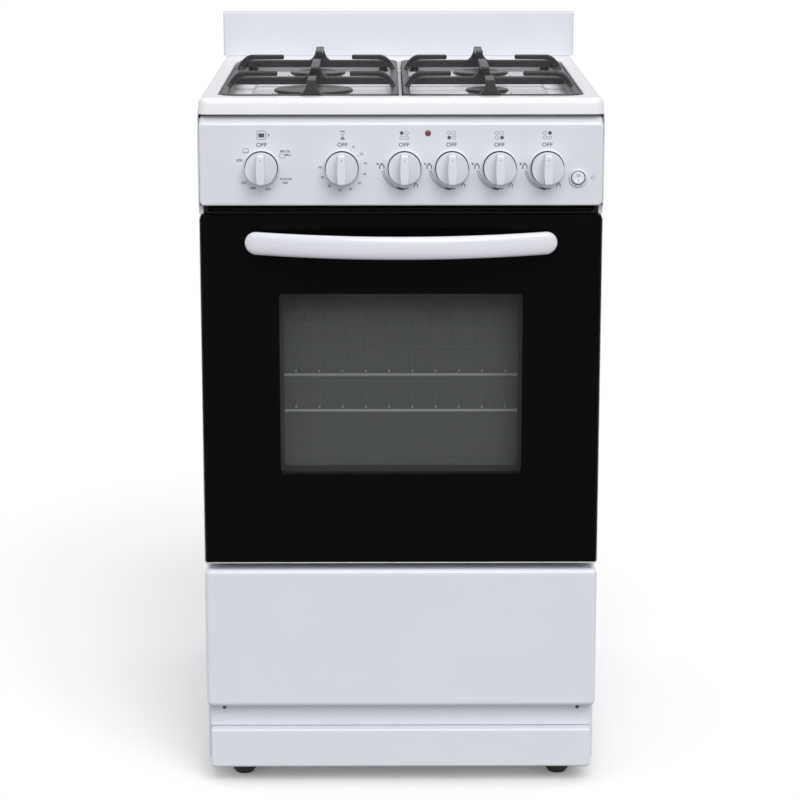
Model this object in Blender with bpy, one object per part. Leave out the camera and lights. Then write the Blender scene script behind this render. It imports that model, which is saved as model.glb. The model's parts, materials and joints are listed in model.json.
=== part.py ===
"""Freestanding gas range with four burners, an oven and a storage drawer.

Metres, +Z up. The front faces -Y, +X is the viewer's right, and the origin is the middle of
the footprint on the floor. Every physical piece is one closed solid in its own object.
"""
import math

import bmesh
import bpy

# Overall
WIDTH = 0.500                # across the hob and the side panels
BODY_DEPTH = 0.585           # from the door glass to the rear edge
HANDLE_REACH = 0.045         # how far the door handle stands out of the glass
GAP = 0.0003                 # between two pieces that touch
SHEET = 0.0012               # enamelled sheet steel

# Heights of the front, from the floor up
FOOT_HEIGHT = 0.023
KICK_HEIGHT = 0.052
RAIL_HEIGHT = 0.032
DRAWER_HEIGHT = 0.183
DOOR_GAP = 0.008             # between drawer and door
DOOR_HEIGHT = 0.4466
VENT_HEIGHT = 0.0118
PANEL_HEIGHT = 0.1106
HOB_SEAM = 0.002
HOB_HEIGHT = 0.020
SPLASH_HEIGHT = 0.062

# Body
PANEL_FLANGE = 0.012         # folded edge of a side panel
KICK_INSET = 0.006
KICK_MARGIN = 0.005          # the kick panel is this much narrower on each side
RAIL_INSET = 0.020
RAIL_MARGIN = 0.0035
SPLASH_THICKNESS = 0.022
PAN_DEPTH = 0.030
FOOT_MARGIN = 0.045          # from the side panel's face to the foot's axis
FOOT_INSET_FRONT = 0.010     # from the body's front plane to the front feet's axes
FOOT_INSET_REAR = 0.050
FOOT_RADIUS = 0.0165
FOOT_TIP_RADIUS = 0.012
STUD_RADIUS = 0.004
STUD_CLEARANCE = 0.0005

# Oven
DOOR_THICKNESS = 0.040
SEAL_THICKNESS = 0.006
CAVITY_WIDTH = 0.380
CAVITY_DEPTH = 0.420
CAVITY_SILL = 0.024          # oven floor above the door's bottom edge
CAVITY_LINTEL = 0.0366       # oven ceiling below the door's top edge
BURNER_OPENING = 0.200       # width of the opening in the oven floor
BROIL_WIDTH = 0.160
BROIL_LENGTH = 0.280
BROIL_DROP = 0.022
INSULATION = 0.026
LEDGE_PITCH = 0.047
LEDGE_COUNT = 6
LEDGE_FIRST = 0.061          # lowest ledge above the oven floor
LEDGE_DEPTH = 0.0165
LEDGE_THICKNESS = 0.002
RACK_LEVELS = {"oven_rack_lower": 2, "oven_rack_upper": 3}
RACK_PLAY = 0.013            # rack to the oven wall on each side
RACK_DEPTH = 0.360
RACK_INSET = 0.034           # rack front behind the oven's mouth
RACK_WIRE = 0.004
RACK_WIRES = 10
RACK_BORDER = 0.0429         # outermost inner wire to the rack's side
RACK_BACKSTOP = 0.018

# Door
GLASS = 0.004
GLASS_MARGIN = 0.0030        # enamelled frame that shows beside the glass
WINDOW_WIDTH = 0.304
WINDOW_HEIGHT = 0.233
WINDOW_SILL = 0.116          # window above the door's bottom edge
WINDOW_RIM = 0.004           # frame opening beyond the printed window
HINGE_INSET = 0.012          # hinge axis behind the glass face
HINGE_RISE = 0.008           # hinge axis above the door's bottom edge
HINGE_X = 0.225
HINGE_PLATE = 0.006
HINGE_BOSS = 0.005
HINGE_CLEARANCE = 0.0022
HANDLE_LENGTH = 0.385
HANDLE_HEIGHT = 0.0285
HANDLE_THICKNESS = 0.014
HANDLE_END = 0.024
HANDLE_DROP = 0.0326         # bar centre below the door's top edge

# Drawer
DRAWER_FRONT_DEPTH = 0.042
BOX_MARGIN = 0.050           # box side in from the side panel's face
BOX_LIFT = 0.009
BOX_HEIGHT = 0.120
BOX_LENGTH = 0.380
RUNNER_LEDGE = 0.014
RUNNER_WEB = 0.036

# Control panel
PANEL_BEVEL = 0.011
KNOB_AXIS = 0.0473           # above the panel's bottom edge
KNOB_RADIUS = 0.020
KNOB_DEPTH = 0.025
KNOB_SKIRT = 0.008
KNOB_GRIP = 0.011
KNOB_TRAVEL = 0.0035         # a knob can be pushed in by this much
KNOB_REST = 0.0045           # knob back to panel
KNOBS = {
    "thermostat": -0.1715,
    "timer": -0.0727,
    "rear_left": 0.0042,
    "front_left": 0.0624,
    "front_right": 0.1210,
    "rear_right": 0.1797,
}
SPINDLE_RADIUS = 0.003
SPINDLE_GRIP = 0.014         # spindle length inside the knob
SPINDLE_TAIL = 0.036         # spindle end behind the panel's face
VALVE_RADIUS = 0.011
VALVE_FRONT = 0.020
MANIFOLD_INSET = 0.070
MANIFOLD_RADIUS = 0.007
PANEL_HOLE = 0.006
LAMP_X = 0.033
LAMP_RISE = 0.0896
LAMP_RADIUS = 0.0034
ROCKER_X = 0.2176
ROCKER_RISE = 0.0346
ROCKER_RADIUS = 0.0083
ROCKER_TILT = math.radians(8)
BEZEL_RADIUS = 0.0115

# Hob
RIM_SIDE = 0.023
RIM_FRONT = 0.030
WELL_DEPTH = 0.017
PLATEAU_RISE = 0.004
PLATEAU_MARGIN = 0.035
BURNER_X = 0.1105
BURNER_FRONT = 0.146         # burner axes behind the hob's front edge
BURNER_REAR = 0.374
CAP_RADII = {"rear_left": 0.0375, "front_left": 0.0505, "front_right": 0.0275, "rear_right": 0.0375}
CROWN_RISE = 0.005
CAP_HEIGHT = 0.0045
GRATE_SPLIT = 0.004          # between the two grates
GRATE_MARGIN = 0.003         # grate to the wall of the well
GRATE_DEPTH = 0.468
GRATE_BAR = 0.010            # bar width
GRATE_BAR_HEIGHT = 0.007
GRATE_RADIUS = 0.020
GRATE_LIFT = 0.0075          # bars above the floor of the well
GRATE_TOP = 0.019            # finger tops above the hob's rim
FINGER_WIDTH = 0.011
FINGER_THICKNESS = 0.0065
ARM_CLEAR = 0.046            # from a burner's axis to the tips of its side arms
FINGER_CLEAR = 0.055         # and to the tips of its front and rear fingers
ARCH_LENGTH = 0.023
ARCH_SLANT = 0.75            # below 1 an arm rises more slanted than upright
HORN_FLARE = 0.013

# Places that follow from the sizes
FRONT = HANDLE_REACH - (BODY_DEPTH + HANDLE_REACH) / 2
BACK = FRONT + BODY_DEPTH
MOUTH = FRONT + DOOR_THICKNESS + SEAL_THICKNESS
Z_RAIL = FOOT_HEIGHT + KICK_HEIGHT
Z_DRAWER = Z_RAIL + RAIL_HEIGHT
Z_DOOR = Z_DRAWER + DRAWER_HEIGHT + DOOR_GAP
Z_VENT = Z_DOOR + DOOR_HEIGHT
Z_PANEL = Z_VENT + VENT_HEIGHT
Z_HOB = Z_PANEL + PANEL_HEIGHT + HOB_SEAM
Z_RIM = Z_HOB + HOB_HEIGHT
Z_WELL = Z_RIM - WELL_DEPTH
Z_PLATEAU = Z_WELL + PLATEAU_RISE
Z_FLOOR = Z_DOOR + CAVITY_SILL
CAVITY_HEIGHT = DOOR_HEIGHT - CAVITY_SILL - CAVITY_LINTEL
RACK_WIDTH = CAVITY_WIDTH - 2 * RACK_PLAY
RACK_PITCH = (RACK_WIDTH - 2 * RACK_BORDER) / (RACK_WIRES - 1)
Z_KNOB = Z_PANEL + KNOB_AXIS
HALF = WIDTH / 2
INNER = HALF - SHEET - GAP   # inside of the side panels
BURNERS = {
    "rear_left": (-BURNER_X, FRONT + BURNER_REAR),
    "front_left": (-BURNER_X, FRONT + BURNER_FRONT),
    "front_right": (BURNER_X, FRONT + BURNER_FRONT),
    "rear_right": (BURNER_X, FRONT + BURNER_REAR),
}

PLANES = {
    "X": lambda u, v, w: (w, u, v),
    "Y": lambda u, v, w: (u, w, v),
    "Z": lambda u, v, w: (u, v, w),
}


def make_material(name, colour, roughness, metallic=0.0):
    """A Principled material with one colour."""
    material = bpy.data.materials.new(name)
    material.use_nodes = True
    shader = material.node_tree.nodes["Principled BSDF"]
    shader.inputs["Base Color"].default_value = (*colour, 1.0)
    shader.inputs["Roughness"].default_value = roughness
    shader.inputs["Metallic"].default_value = metallic
    material.diffuse_color = (*colour, 1.0)
    return material


def make_node(name, shape, material, origin=(0.0, 0.0, 0.0)):
    """Turn a bmesh in world coordinates into an object whose origin is at the given point."""
    bmesh.ops.translate(shape, verts=shape.verts, vec=[-c for c in origin])
    bmesh.ops.recalc_face_normals(shape, faces=shape.faces)
    mesh = bpy.data.meshes.new(name)
    shape.to_mesh(mesh)
    shape.free()
    mesh.shade_smooth()
    mesh.set_sharp_from_angle(angle=math.radians(35))
    mesh.materials.append(material)
    node = bpy.data.objects.new(name, mesh)
    node.location = origin
    bpy.context.scene.collection.objects.link(node)
    return node


def rounded_outline(u0, u1, v0, v1, radius, steps=3):
    """Points round a rectangle whose corners are quarter circles."""
    corners = ((u1 - radius, v1 - radius), (u0 + radius, v1 - radius),
               (u0 + radius, v0 + radius), (u1 - radius, v0 + radius))
    points = []
    for quarter, (cu, cv) in enumerate(corners):
        for k in range(steps + 1):
            angle = math.pi / 2 * (quarter + k / steps)
            points.append((cu + radius * math.cos(angle), cv + radius * math.sin(angle)))
    return points


def bridge_outlines(outlines, closed):
    """Skin a list of equally long outlines of 3-D points; a closed list forms a ring."""
    shape = bmesh.new()
    loops = [[shape.verts.new(point) for point in outline] for outline in outlines]
    pairs = list(zip(loops, loops[1:]))
    if closed:
        pairs.append((loops[-1], loops[0]))
    else:
        shape.faces.new(loops[0])
        shape.faces.new(loops[-1])
    for first, second in pairs:
        count = len(first)
        for k in range(count):
            n = (k + 1) % count
            shape.faces.new((first[k], first[n], second[n], second[k]))
    bmesh.ops.recalc_face_normals(shape, faces=shape.faces)
    return shape


def pressed(rows, axis, closed=False, steps=3):
    """Skin rounded rectangles, each given as (u0, u1, v0, v1, radius, w)."""
    place = PLANES[axis]
    outlines = []
    for u0, u1, v0, v1, radius, w in rows:
        points = rounded_outline(u0, u1, v0, v1, max(radius, GAP), steps)
        outlines.append([place(u, v, w) for u, v in points])
    return bridge_outlines(outlines, closed)


def tray(u0, u1, v0, v1, radius, w_closed, w_open, edge, thickness, axis, steps=3):
    """A sheet tray with one closed face at w_closed, rounded into its walls by edge."""
    sign = math.copysign(1.0, w_open - w_closed)
    soft = edge * (1 - math.sqrt(0.5))
    inner = max(edge, thickness)

    def row(inset, w):
        return (u0 + inset, u1 - inset, v0 + inset, v1 - inset, radius - inset, w)

    rows = [
        row(edge, w_closed),
        row(soft, w_closed + sign * soft),
        row(0.0, w_closed + sign * edge),
        row(0.0, w_open),
        row(thickness, w_open),
        row(thickness, w_closed + sign * (inner + thickness)),
        row(inner + thickness, w_closed + sign * thickness),
    ]
    return pressed(rows, axis, steps=steps)


def prism(points, w0, w1, axis):
    """A flat outline pushed from w0 to w1 along an axis."""
    place = PLANES[axis]
    outlines = [[place(u, v, w) for u, v in points] for w in (w0, w1)]
    return bridge_outlines(outlines, closed=False)


def block(x0, x1, y0, y1, z0, z1):
    """A box between two corners."""
    return prism([(x0, y0), (x1, y0), (x1, y1), (x0, y1)], z0, z1, "Z")


def turned(profile, centre, axis, steps=24, closed=False):
    """A turned shape; profile holds (radius, w), with radius 0 where an end meets the axis."""
    place = PLANES[axis]
    cu, cv = centre
    shape = bmesh.new()
    rings = []
    for radius, w in profile:
        if radius == 0.0:
            rings.append([shape.verts.new(place(cu, cv, w))] * steps)
            continue
        angles = [2 * math.pi * k / steps for k in range(steps)]
        rings.append([shape.verts.new(place(cu + radius * math.cos(a), cv + radius * math.sin(a), w))
                      for a in angles])
    pairs = list(zip(rings, rings[1:]))
    if closed:
        pairs.append((rings[-1], rings[0]))
    for first, second in pairs:
        for k in range(steps):
            n = (k + 1) % steps
            corners = dict.fromkeys((first[k], first[n], second[n], second[k]))
            shape.faces.new(corners)
    bmesh.ops.recalc_face_normals(shape, faces=shape.faces)
    return shape


def lattice(us, vs, w0, w1, axis):
    """A plate with an opening in every cell that has an odd index on both line lists."""
    place = PLANES[axis]
    shape = bmesh.new()
    corners = {}

    def corner(i, j, w):
        key = (i, j, w)
        if key not in corners:
            corners[key] = shape.verts.new(place(us[i], vs[j], w))
        return corners[key]

    def solid(i, j):
        inside = 0 <= i < len(us) - 1 and 0 <= j < len(vs) - 1
        return inside and not (i % 2 and j % 2)

    for i in range(len(us) - 1):
        for j in range(len(vs) - 1):
            if not solid(i, j):
                continue
            square = [(i, j), (i + 1, j), (i + 1, j + 1), (i, j + 1)]
            for w in (w0, w1):
                shape.faces.new([corner(a, b, w) for a, b in square])
            for side, (di, dj) in enumerate(((0, -1), (1, 0), (0, 1), (-1, 0))):
                if solid(i + di, j + dj):
                    continue
                a, b = square[side], square[(side + 1) % 4]
                shape.faces.new((corner(*a, w0), corner(*b, w0), corner(*b, w1), corner(*a, w1)))
    bmesh.ops.recalc_face_normals(shape, faces=shape.faces)
    return shape


def slot_lines(start, end, count, share):
    """Line list for a row of equal slots that take the given share of the length."""
    slot = (end - start) * share / count
    bar = (end - start) * (1 - share) / (count + 1)
    lines = [start]
    for k in range(count):
        lines.append(start + bar * (k + 1) + slot * k)
        lines.append(lines[-1] + slot)
    return lines + [end]


def bar_lines(centres, width):
    """Line list for a row of bars of one width."""
    return [c + side * width / 2 for c in centres for side in (-1, 1)]


def combine(body, tool, operation):
    """The Boolean result of two closed bmeshes, which are used up."""
    pieces = []
    for shape in (body, tool):
        mesh = bpy.data.meshes.new("combine")
        shape.to_mesh(mesh)
        shape.free()
        piece = bpy.data.objects.new("combine", mesh)
        bpy.context.scene.collection.objects.link(piece)
        pieces.append(piece)
    modifier = pieces[0].modifiers.new("Boolean", "BOOLEAN")
    modifier.operation = operation
    modifier.solver = "EXACT"
    modifier.object = pieces[1]
    result = bmesh.new()
    result.from_object(pieces[0], bpy.context.evaluated_depsgraph_get())
    for piece in pieces:
        mesh = piece.data
        bpy.data.objects.remove(piece)
        bpy.data.meshes.remove(mesh)
    return result


def cut(body, *tools):
    """The body less each tool."""
    for tool in tools:
        body = combine(body, tool, "DIFFERENCE")
    return body


def join(body, *tools):
    """The body with each tool added."""
    for tool in tools:
        body = combine(body, tool, "UNION")
    return body


def rod(centre, w0, w1, radius, axis, steps=12):
    """A plain round rod along an axis."""
    return turned([(0.0, w0), (radius, w0), (radius, w1), (0.0, w1)], centre, axis, steps)


def side_panel(name, side, material):
    """Outer wall with a folded edge at the front and the back."""
    fold = HALF - PANEL_FLANGE
    wall = HALF - SHEET
    outline = [(HALF, MOUTH), (HALF, BACK), (fold, BACK), (fold, BACK - SHEET),
               (wall, BACK - SHEET), (wall, MOUTH + SHEET), (fold, MOUTH + SHEET), (fold, MOUTH)]
    shape = prism([(side * x, y) for x, y in outline], FOOT_HEIGHT, Z_HOB - GAP, "Z")
    make_node(name, shape, material)


def back_panel(material):
    """Rear cover behind the folded edges, with two rows of vent slots and the gas inlet's hole."""
    y1 = BACK - SHEET - GAP
    z0 = FOOT_HEIGHT + PAN_DEPTH + GAP
    z1 = Z_HOB - GAP
    columns = slot_lines(-INNER, INNER, 4, 0.6)
    slot = 0.006
    rises = (0.62, 0.66, 0.90, 0.94)
    levels = [z0] + [z0 + (z1 - z0) * r + d for r in rises for d in (0.0, slot)] + [z1]
    shape = lattice(columns, levels, y1 - SHEET, y1, "Y")
    hole = rod((supply_x(), Z_KNOB), BACK - 0.02, BACK + 0.02, MANIFOLD_RADIUS + 0.003, "Y")
    make_node("back_panel", cut(shape, hole), material)


def base_pan(material):
    """Floor tray that carries the feet."""
    y0, y1 = MOUTH + SHEET + GAP, BACK - SHEET - GAP
    shape = tray(-INNER, INNER, y0, y1, SHEET * 2, FOOT_HEIGHT, FOOT_HEIGHT + PAN_DEPTH,
                 SHEET, SHEET, "Z", steps=1)
    holes = [rod(place, FOOT_HEIGHT - 0.01, FOOT_HEIGHT + 0.01, STUD_RADIUS + STUD_CLEARANCE, "Z")
             for place in foot_places().values()]
    make_node("base_pan", cut(shape, *holes), material)


def foot_places():
    """Each foot's axis."""
    x = HALF - FOOT_MARGIN
    front, rear = MOUTH + FOOT_INSET_FRONT, BACK - FOOT_INSET_REAR
    return {"foot_front_left": (-x, front), "foot_front_right": (x, front),
            "foot_rear_left": (-x, rear), "foot_rear_right": (x, rear)}


def foot(name, place, material):
    """Levelling foot: tapered plastic body with a threaded stud."""
    top = FOOT_HEIGHT - GAP
    profile = [(0.0, 0.0), (FOOT_TIP_RADIUS - 0.001, 0.0), (FOOT_TIP_RADIUS, 0.001),
               (FOOT_RADIUS, top - 0.006), (FOOT_RADIUS, top), (STUD_RADIUS, top),
               (STUD_RADIUS, top + 0.016), (0.0, top + 0.016)]
    make_node(name, turned(profile, place, "Z", 16), material, (*place, 0.0))


def kick_panel(material):
    """Folded strip between the feet and the drawer rail."""
    x = HALF - KICK_MARGIN
    shape = tray(-x, x, FOOT_HEIGHT, Z_RAIL - GAP, 0.003, FRONT + KICK_INSET, MOUTH - GAP,
                 0.0025, SHEET, "Y")
    make_node("kick_panel", shape, material)


def drawer_rail(material):
    """Recessed strip under the drawer."""
    x = HALF - RAIL_MARGIN
    shape = tray(-x, x, Z_RAIL, Z_DRAWER - 0.001, 0.002, FRONT + RAIL_INSET, MOUTH - GAP,
                 SHEET, SHEET, "Y", steps=2)
    make_node("drawer_rail", shape, material)


def drawer_front(material):
    """Pressed drawer panel, open at the back."""
    x = HALF - 0.0005
    shape = tray(-x, x, Z_DRAWER, Z_DRAWER + DRAWER_HEIGHT, 0.005, FRONT,
                 FRONT + DRAWER_FRONT_DEPTH, 0.005, SHEET, "Y")
    make_node("drawer_front", shape, material)


def drawer_box(material):
    """Sheet box behind the drawer front, open at the top."""
    x = HALF - BOX_MARGIN
    z0 = Z_DRAWER + BOX_LIFT
    y0 = FRONT + DRAWER_FRONT_DEPTH + GAP
    shape = tray(-x, x, y0, y0 + BOX_LENGTH, 0.006, z0, z0 + BOX_HEIGHT, 0.002, SHEET, "Z", 2)
    make_node("drawer_box", shape, material)


def drawer_runner(name, side, material):
    """Angle along the side panel; the drawer box slides on its ledge."""
    ledge = HALF - BOX_MARGIN - RUNNER_LEDGE
    top = Z_DRAWER + BOX_LIFT - GAP
    low = top - 0.0015
    web = INNER - 0.0015
    outline = [(ledge, low), (INNER, low), (INNER, top + RUNNER_WEB), (web, top + RUNNER_WEB),
               (web, top), (ledge, top)]
    y0 = MOUTH + SHEET + GAP
    shape = prism([(side * x, z) for x, z in outline], y0, y0 + BOX_LENGTH + 0.02, "Y")
    make_node(name, shape, material)


def cavity_row(grow, w):
    """Outline of the oven's inside, grown by a distance, at depth w."""
    x = CAVITY_WIDTH / 2 + grow
    return (-x, x, Z_FLOOR - grow, Z_FLOOR + CAVITY_HEIGHT + grow, 0.012 + grow, w)


def oven_liner(material):
    """Oven box with its front flange; the floor is open over the burner."""
    rear = MOUTH + CAVITY_DEPTH
    x = HALF - PANEL_FLANGE - GAP
    flange = (-x, x, Z_DOOR - 0.004, Z_VENT, 0.003)
    rows = [cavity_row(0.0, rear), cavity_row(0.0, MOUTH), (*flange, MOUTH), (*flange, MOUTH + SHEET),
            cavity_row(SHEET, MOUTH + SHEET), cavity_row(SHEET, rear + SHEET)]
    shape = pressed(rows, "Y")
    half = BURNER_OPENING / 2
    opening = block(-half, half, MOUTH + 0.08, rear - 0.06, Z_FLOOR - 0.02, Z_FLOOR + 0.01)
    make_node("oven_liner", cut(shape, opening), material)


def oven_insulation(material):
    """Mineral wool over the top and the sides of the liner."""
    inner = CAVITY_WIDTH / 2 + SHEET + GAP
    outer = inner + INSULATION
    ceiling = Z_FLOOR + CAVITY_HEIGHT + SHEET + GAP
    outline = [(-outer, Z_FLOOR), (-inner, Z_FLOOR), (-inner, ceiling), (inner, ceiling),
               (inner, Z_FLOOR), (outer, Z_FLOOR), (outer, ceiling + INSULATION),
               (-outer, ceiling + INSULATION)]
    y0 = MOUTH + SHEET + GAP
    make_node("oven_insulation", prism(outline, y0, MOUTH + CAVITY_DEPTH, "Y"), material)


def oven_seal(material):
    """Soft gasket round the oven's mouth."""
    y0, y1 = FRONT + DOOR_THICKNESS + GAP, MOUTH - GAP
    rows = [cavity_row(0.012, y1), cavity_row(0.012, y0 + 0.002), cavity_row(0.010, y0),
            cavity_row(0.006, y0), cavity_row(0.004, y0 + 0.002), cavity_row(0.004, y1)]
    make_node("oven_seal", pressed(rows, "Y", closed=True), material)


def oven_floor_plate(material):
    """Slotted plate over the oven burner."""
    x = CAVITY_WIDTH / 2 - 0.014
    y0, y1 = MOUTH + 0.010, MOUTH + CAVITY_DEPTH - 0.010
    margin = 0.030
    columns = slot_lines(-x, x, 6, 0.7)
    rows = [y0, y0 + margin, y0 + margin + 0.008, y1 - margin - 0.008, y1 - margin, y1]
    make_node("oven_floor_plate", lattice(columns, rows, Z_FLOOR + GAP, Z_FLOOR + 0.0015, "Z"), material)


def ledge_height(level):
    """Top of a rack ledge."""
    return Z_FLOOR + LEDGE_FIRST + LEDGE_PITCH * level


def rack_support(name, side, material):
    """Pressed side plate with a ledge for each rack level."""
    outer = CAVITY_WIDTH / 2 - GAP
    plate = outer - SHEET
    tip = plate - LEDGE_DEPTH
    outline = [(outer, Z_FLOOR + 0.014), (plate, Z_FLOOR + 0.014)]
    for level in range(LEDGE_COUNT):
        top = ledge_height(level)
        low = top - LEDGE_THICKNESS
        outline += [(plate, low), (tip, low), (tip, top), (plate, top)]
    ceiling = Z_FLOOR + CAVITY_HEIGHT - 0.014
    outline += [(plate, ceiling), (outer, ceiling)]
    shape = prism([(side * x, z) for x, z in outline], MOUTH + 0.020, MOUTH + CAVITY_DEPTH - 0.010, "Y")
    make_node(name, shape, material)


def oven_rack(name, level, material):
    """Wire rack: long bars between cross bars, and a raised stop at the back."""
    z0 = ledge_height(level) + GAP
    y0 = MOUTH + RACK_INSET
    edge = (RACK_WIDTH - RACK_WIRE) / 2
    middle = [RACK_PITCH * (k - (RACK_WIRES - 1) / 2) for k in range(RACK_WIRES)]
    columns = bar_lines([-edge] + middle + [edge], RACK_WIRE)
    last = y0 + RACK_DEPTH - RACK_WIRE / 2
    first = y0 + RACK_WIRE / 2
    rows = bar_lines([first, (first + last) / 2, last], RACK_WIRE)
    shape = lattice(columns, rows, z0, z0 + RACK_WIRE, "Z")
    half = RACK_WIDTH / 2 - RACK_WIRE
    stop = block(-half, half, y0 + RACK_DEPTH - RACK_WIRE * 0.75, y0 + RACK_DEPTH - RACK_WIRE * 0.25,
                 z0 + RACK_WIRE / 2, z0 + RACK_BACKSTOP)
    make_node(name, join(shape, stop), material)


def oven_burner(material):
    """Tube burner under the oven floor, open at its rear end."""
    radius = 0.0085
    z = Z_FLOOR - SHEET - 0.003 - radius
    y0, y1 = MOUTH + 0.060, MOUTH + CAVITY_DEPTH - 0.030
    profile = [(0.0, y0), (radius * 0.7, y0), (radius, y0 + 0.004), (radius, y1),
               (radius - 0.0012, y1), (radius - 0.0012, y0 + 0.004), (0.0, y0 + 0.002)]
    make_node("oven_burner", turned(profile, (0.0, z), "Y", 16), material)


def broil_burner(material):
    """Shallow burner head under the oven's ceiling, open at the bottom."""
    top = Z_FLOOR + CAVITY_HEIGHT - GAP
    half = BROIL_WIDTH / 2
    y0 = MOUTH + 0.070
    shape = tray(-half, half, y0, y0 + BROIL_LENGTH, 0.012, top, top - BROIL_DROP, 0.003, SHEET, "Z", 2)
    make_node("broil_burner", shape, material)


def door_rows(inset, y):
    """Outline of the door frame, drawn in by a distance, at depth y."""
    x = HALF - 0.0005 - inset
    return (-x, x, Z_DOOR + inset, Z_VENT - 0.0015 - inset, 0.004 - inset, y)


def window_rows(grow, y):
    """Outline of the opening in the door frame, grown by a distance, at depth y."""
    x = WINDOW_WIDTH / 2 + WINDOW_RIM + grow
    low = Z_DOOR + WINDOW_SILL - WINDOW_RIM - grow
    return (-x, x, low, low + WINDOW_HEIGHT + 2 * (WINDOW_RIM + grow), 0.008 + grow, y)


def door_frame(material):
    """Hollow door shell behind the glass, with a tunnel for the window and slots for the hinges."""
    y0, y1 = FRONT + GLASS + GAP, FRONT + DOOR_THICKNESS
    rows = [door_rows(0.0, y0), door_rows(0.0, y1), window_rows(0.0, y1), window_rows(0.0, y0),
            window_rows(SHEET, y0), window_rows(SHEET, y1 - SHEET), door_rows(SHEET, y1 - SHEET),
            door_rows(SHEET, y0)]
    shape = pressed(rows, "Y", closed=True)
    half = HINGE_PLATE / 2 + HINGE_CLEARANCE
    top = Z_DOOR + HINGE_RISE + HINGE_BOSS + HINGE_CLEARANCE
    slots = [block(side * HINGE_X - half, side * HINGE_X + half, y0 - 0.001, y1 + 0.001,
                   Z_DOOR - 0.001, top) for side in (-1, 1)]
    make_node("door_frame", cut(shape, *slots), material, hinge_axis())


def hinge_axis():
    """Middle of the door's hinge line."""
    return (0.0, FRONT + HINGE_INSET, Z_DOOR + HINGE_RISE)


def door_outer_glass(material):
    """Front pane."""
    x = HALF - GLASS_MARGIN
    z0, z1 = Z_DOOR + GLASS_MARGIN * 0.8, Z_VENT
    soft = 0.0008
    rows = [(-x + soft, x - soft, z0 + soft, z1 - soft, 0.002, FRONT),
            (-x, x, z0, z1, 0.003, FRONT + soft),
            (-x, x, z0, z1, 0.003, FRONT + GLASS)]
    make_node("door_outer_glass", pressed(rows, "Y", steps=3), material, hinge_axis())


def door_inner_glass(material):
    """Rear pane, set in the frame's opening."""
    y1 = FRONT + DOOR_THICKNESS - SHEET
    rows = [window_rows(-GAP, y1 - GLASS), window_rows(-GAP, y1)]
    make_node("door_inner_glass", pressed(rows, "Y"), material, hinge_axis())


def door_handle(material):
    """Bowed bar whose ends stand on the glass."""
    half = HANDLE_LENGTH / 2
    face = FRONT - GAP
    steps = 14
    outer_end = 0.014
    inner_half = half - HANDLE_END
    outline = []
    for k in range(steps + 1):
        t = 2 * k / steps - 1
        outline.append((t * (half - 0.006), FRONT - outer_end - (HANDLE_REACH - outer_end) * (1 - t * t)))
    outline += [(half - 0.0015, face - 0.009), (half, face)]
    for k in range(steps + 1):
        t = 1 - 2 * k / steps
        reach = (HANDLE_REACH - HANDLE_THICKNESS) * (1 - t * t)
        outline.append((t * inner_half, face - reach))
    outline += [(-half, face), (-half + 0.0015, face - 0.009)]
    z = Z_VENT - HANDLE_DROP
    shape = prism(outline, z - HANDLE_HEIGHT / 2, z + HANDLE_HEIGHT / 2, "Z")
    rims = [edge for edge in shape.edges if abs(edge.verts[0].co.z - edge.verts[1].co.z) < GAP]
    bmesh.ops.bevel(shape, geom=rims, offset=0.0035, segments=2, affect="EDGES", profile=0.5)
    make_node("door_handle", shape, material, hinge_axis())


def door_hinge(name, side, material):
    """Fixed bracket whose round boss carries the door."""
    _, y, z = hinge_axis()
    plate = MOUTH - GAP
    outline = [(y + HINGE_BOSS * math.cos(a), z + HINGE_BOSS * math.sin(a))
               for a in [math.radians(45 + 27 * k) for k in range(11)]]
    outline += [(plate - 0.0025, outline[-1][1]), (plate - 0.0025, z - 0.010), (plate, z - 0.010),
                (plate, z + 0.022), (plate - 0.0025, z + 0.022), (plate - 0.0025, outline[0][1])]
    x = side * HINGE_X
    make_node(name, prism(outline, x - HINGE_PLATE / 2, x + HINGE_PLATE / 2, "X"), material)


def vent_trim(material):
    """Black louvre between the door and the control panel."""
    x = HALF - 0.007
    z0, z1 = Z_VENT + 0.001, Z_PANEL - GAP
    rows = [z0, z0 + 0.0025, z1 - 0.0025, z1]
    shape = lattice(slot_lines(-x, x, 2, 0.97), rows, FRONT + 0.010, FRONT + 0.013, "Y")
    make_node("vent_trim", shape, material)


def control_panel(material):
    """Folded panel with a sloping top edge and holes for the controls."""
    z0, z1 = Z_PANEL, Z_PANEL + PANEL_HEIGHT
    edge = 0.002
    y_open = MOUTH - GAP

    def row(inset, top, y):
        x = HALF - inset
        return (-x, x, z0 + inset, z1 - top, 0.005 - inset, y)

    rows = [row(edge, PANEL_BEVEL, FRONT), row(0.0, PANEL_BEVEL - edge, FRONT + edge),
            row(0.0, 0.0, FRONT + PANEL_BEVEL), row(0.0, 0.0, y_open),
            row(SHEET, SHEET, y_open), row(SHEET, SHEET, FRONT + PANEL_BEVEL + SHEET / 2),
            row(edge + SHEET, PANEL_BEVEL + SHEET / 2, FRONT + SHEET)]
    holes = [rod((x, Z_KNOB), FRONT - 0.01, FRONT + 0.01, PANEL_HOLE, "Y", 12) for x in KNOBS.values()]
    holes.append(rod((LAMP_X, Z_PANEL + LAMP_RISE), FRONT - 0.01, FRONT + 0.01, LAMP_RADIUS + GAP, "Y"))
    barrel = ROCKER_RADIUS + 2 * GAP + SHEET
    holes.append(rod((ROCKER_X, Z_PANEL + ROCKER_RISE), FRONT - 0.01, FRONT + 0.01, barrel + GAP, "Y", 20))
    make_node("control_panel", cut(pressed(rows, "Y"), *holes), material)


def knob_back():
    """Depth of a knob's rear face at rest."""
    return FRONT - KNOB_REST


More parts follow.
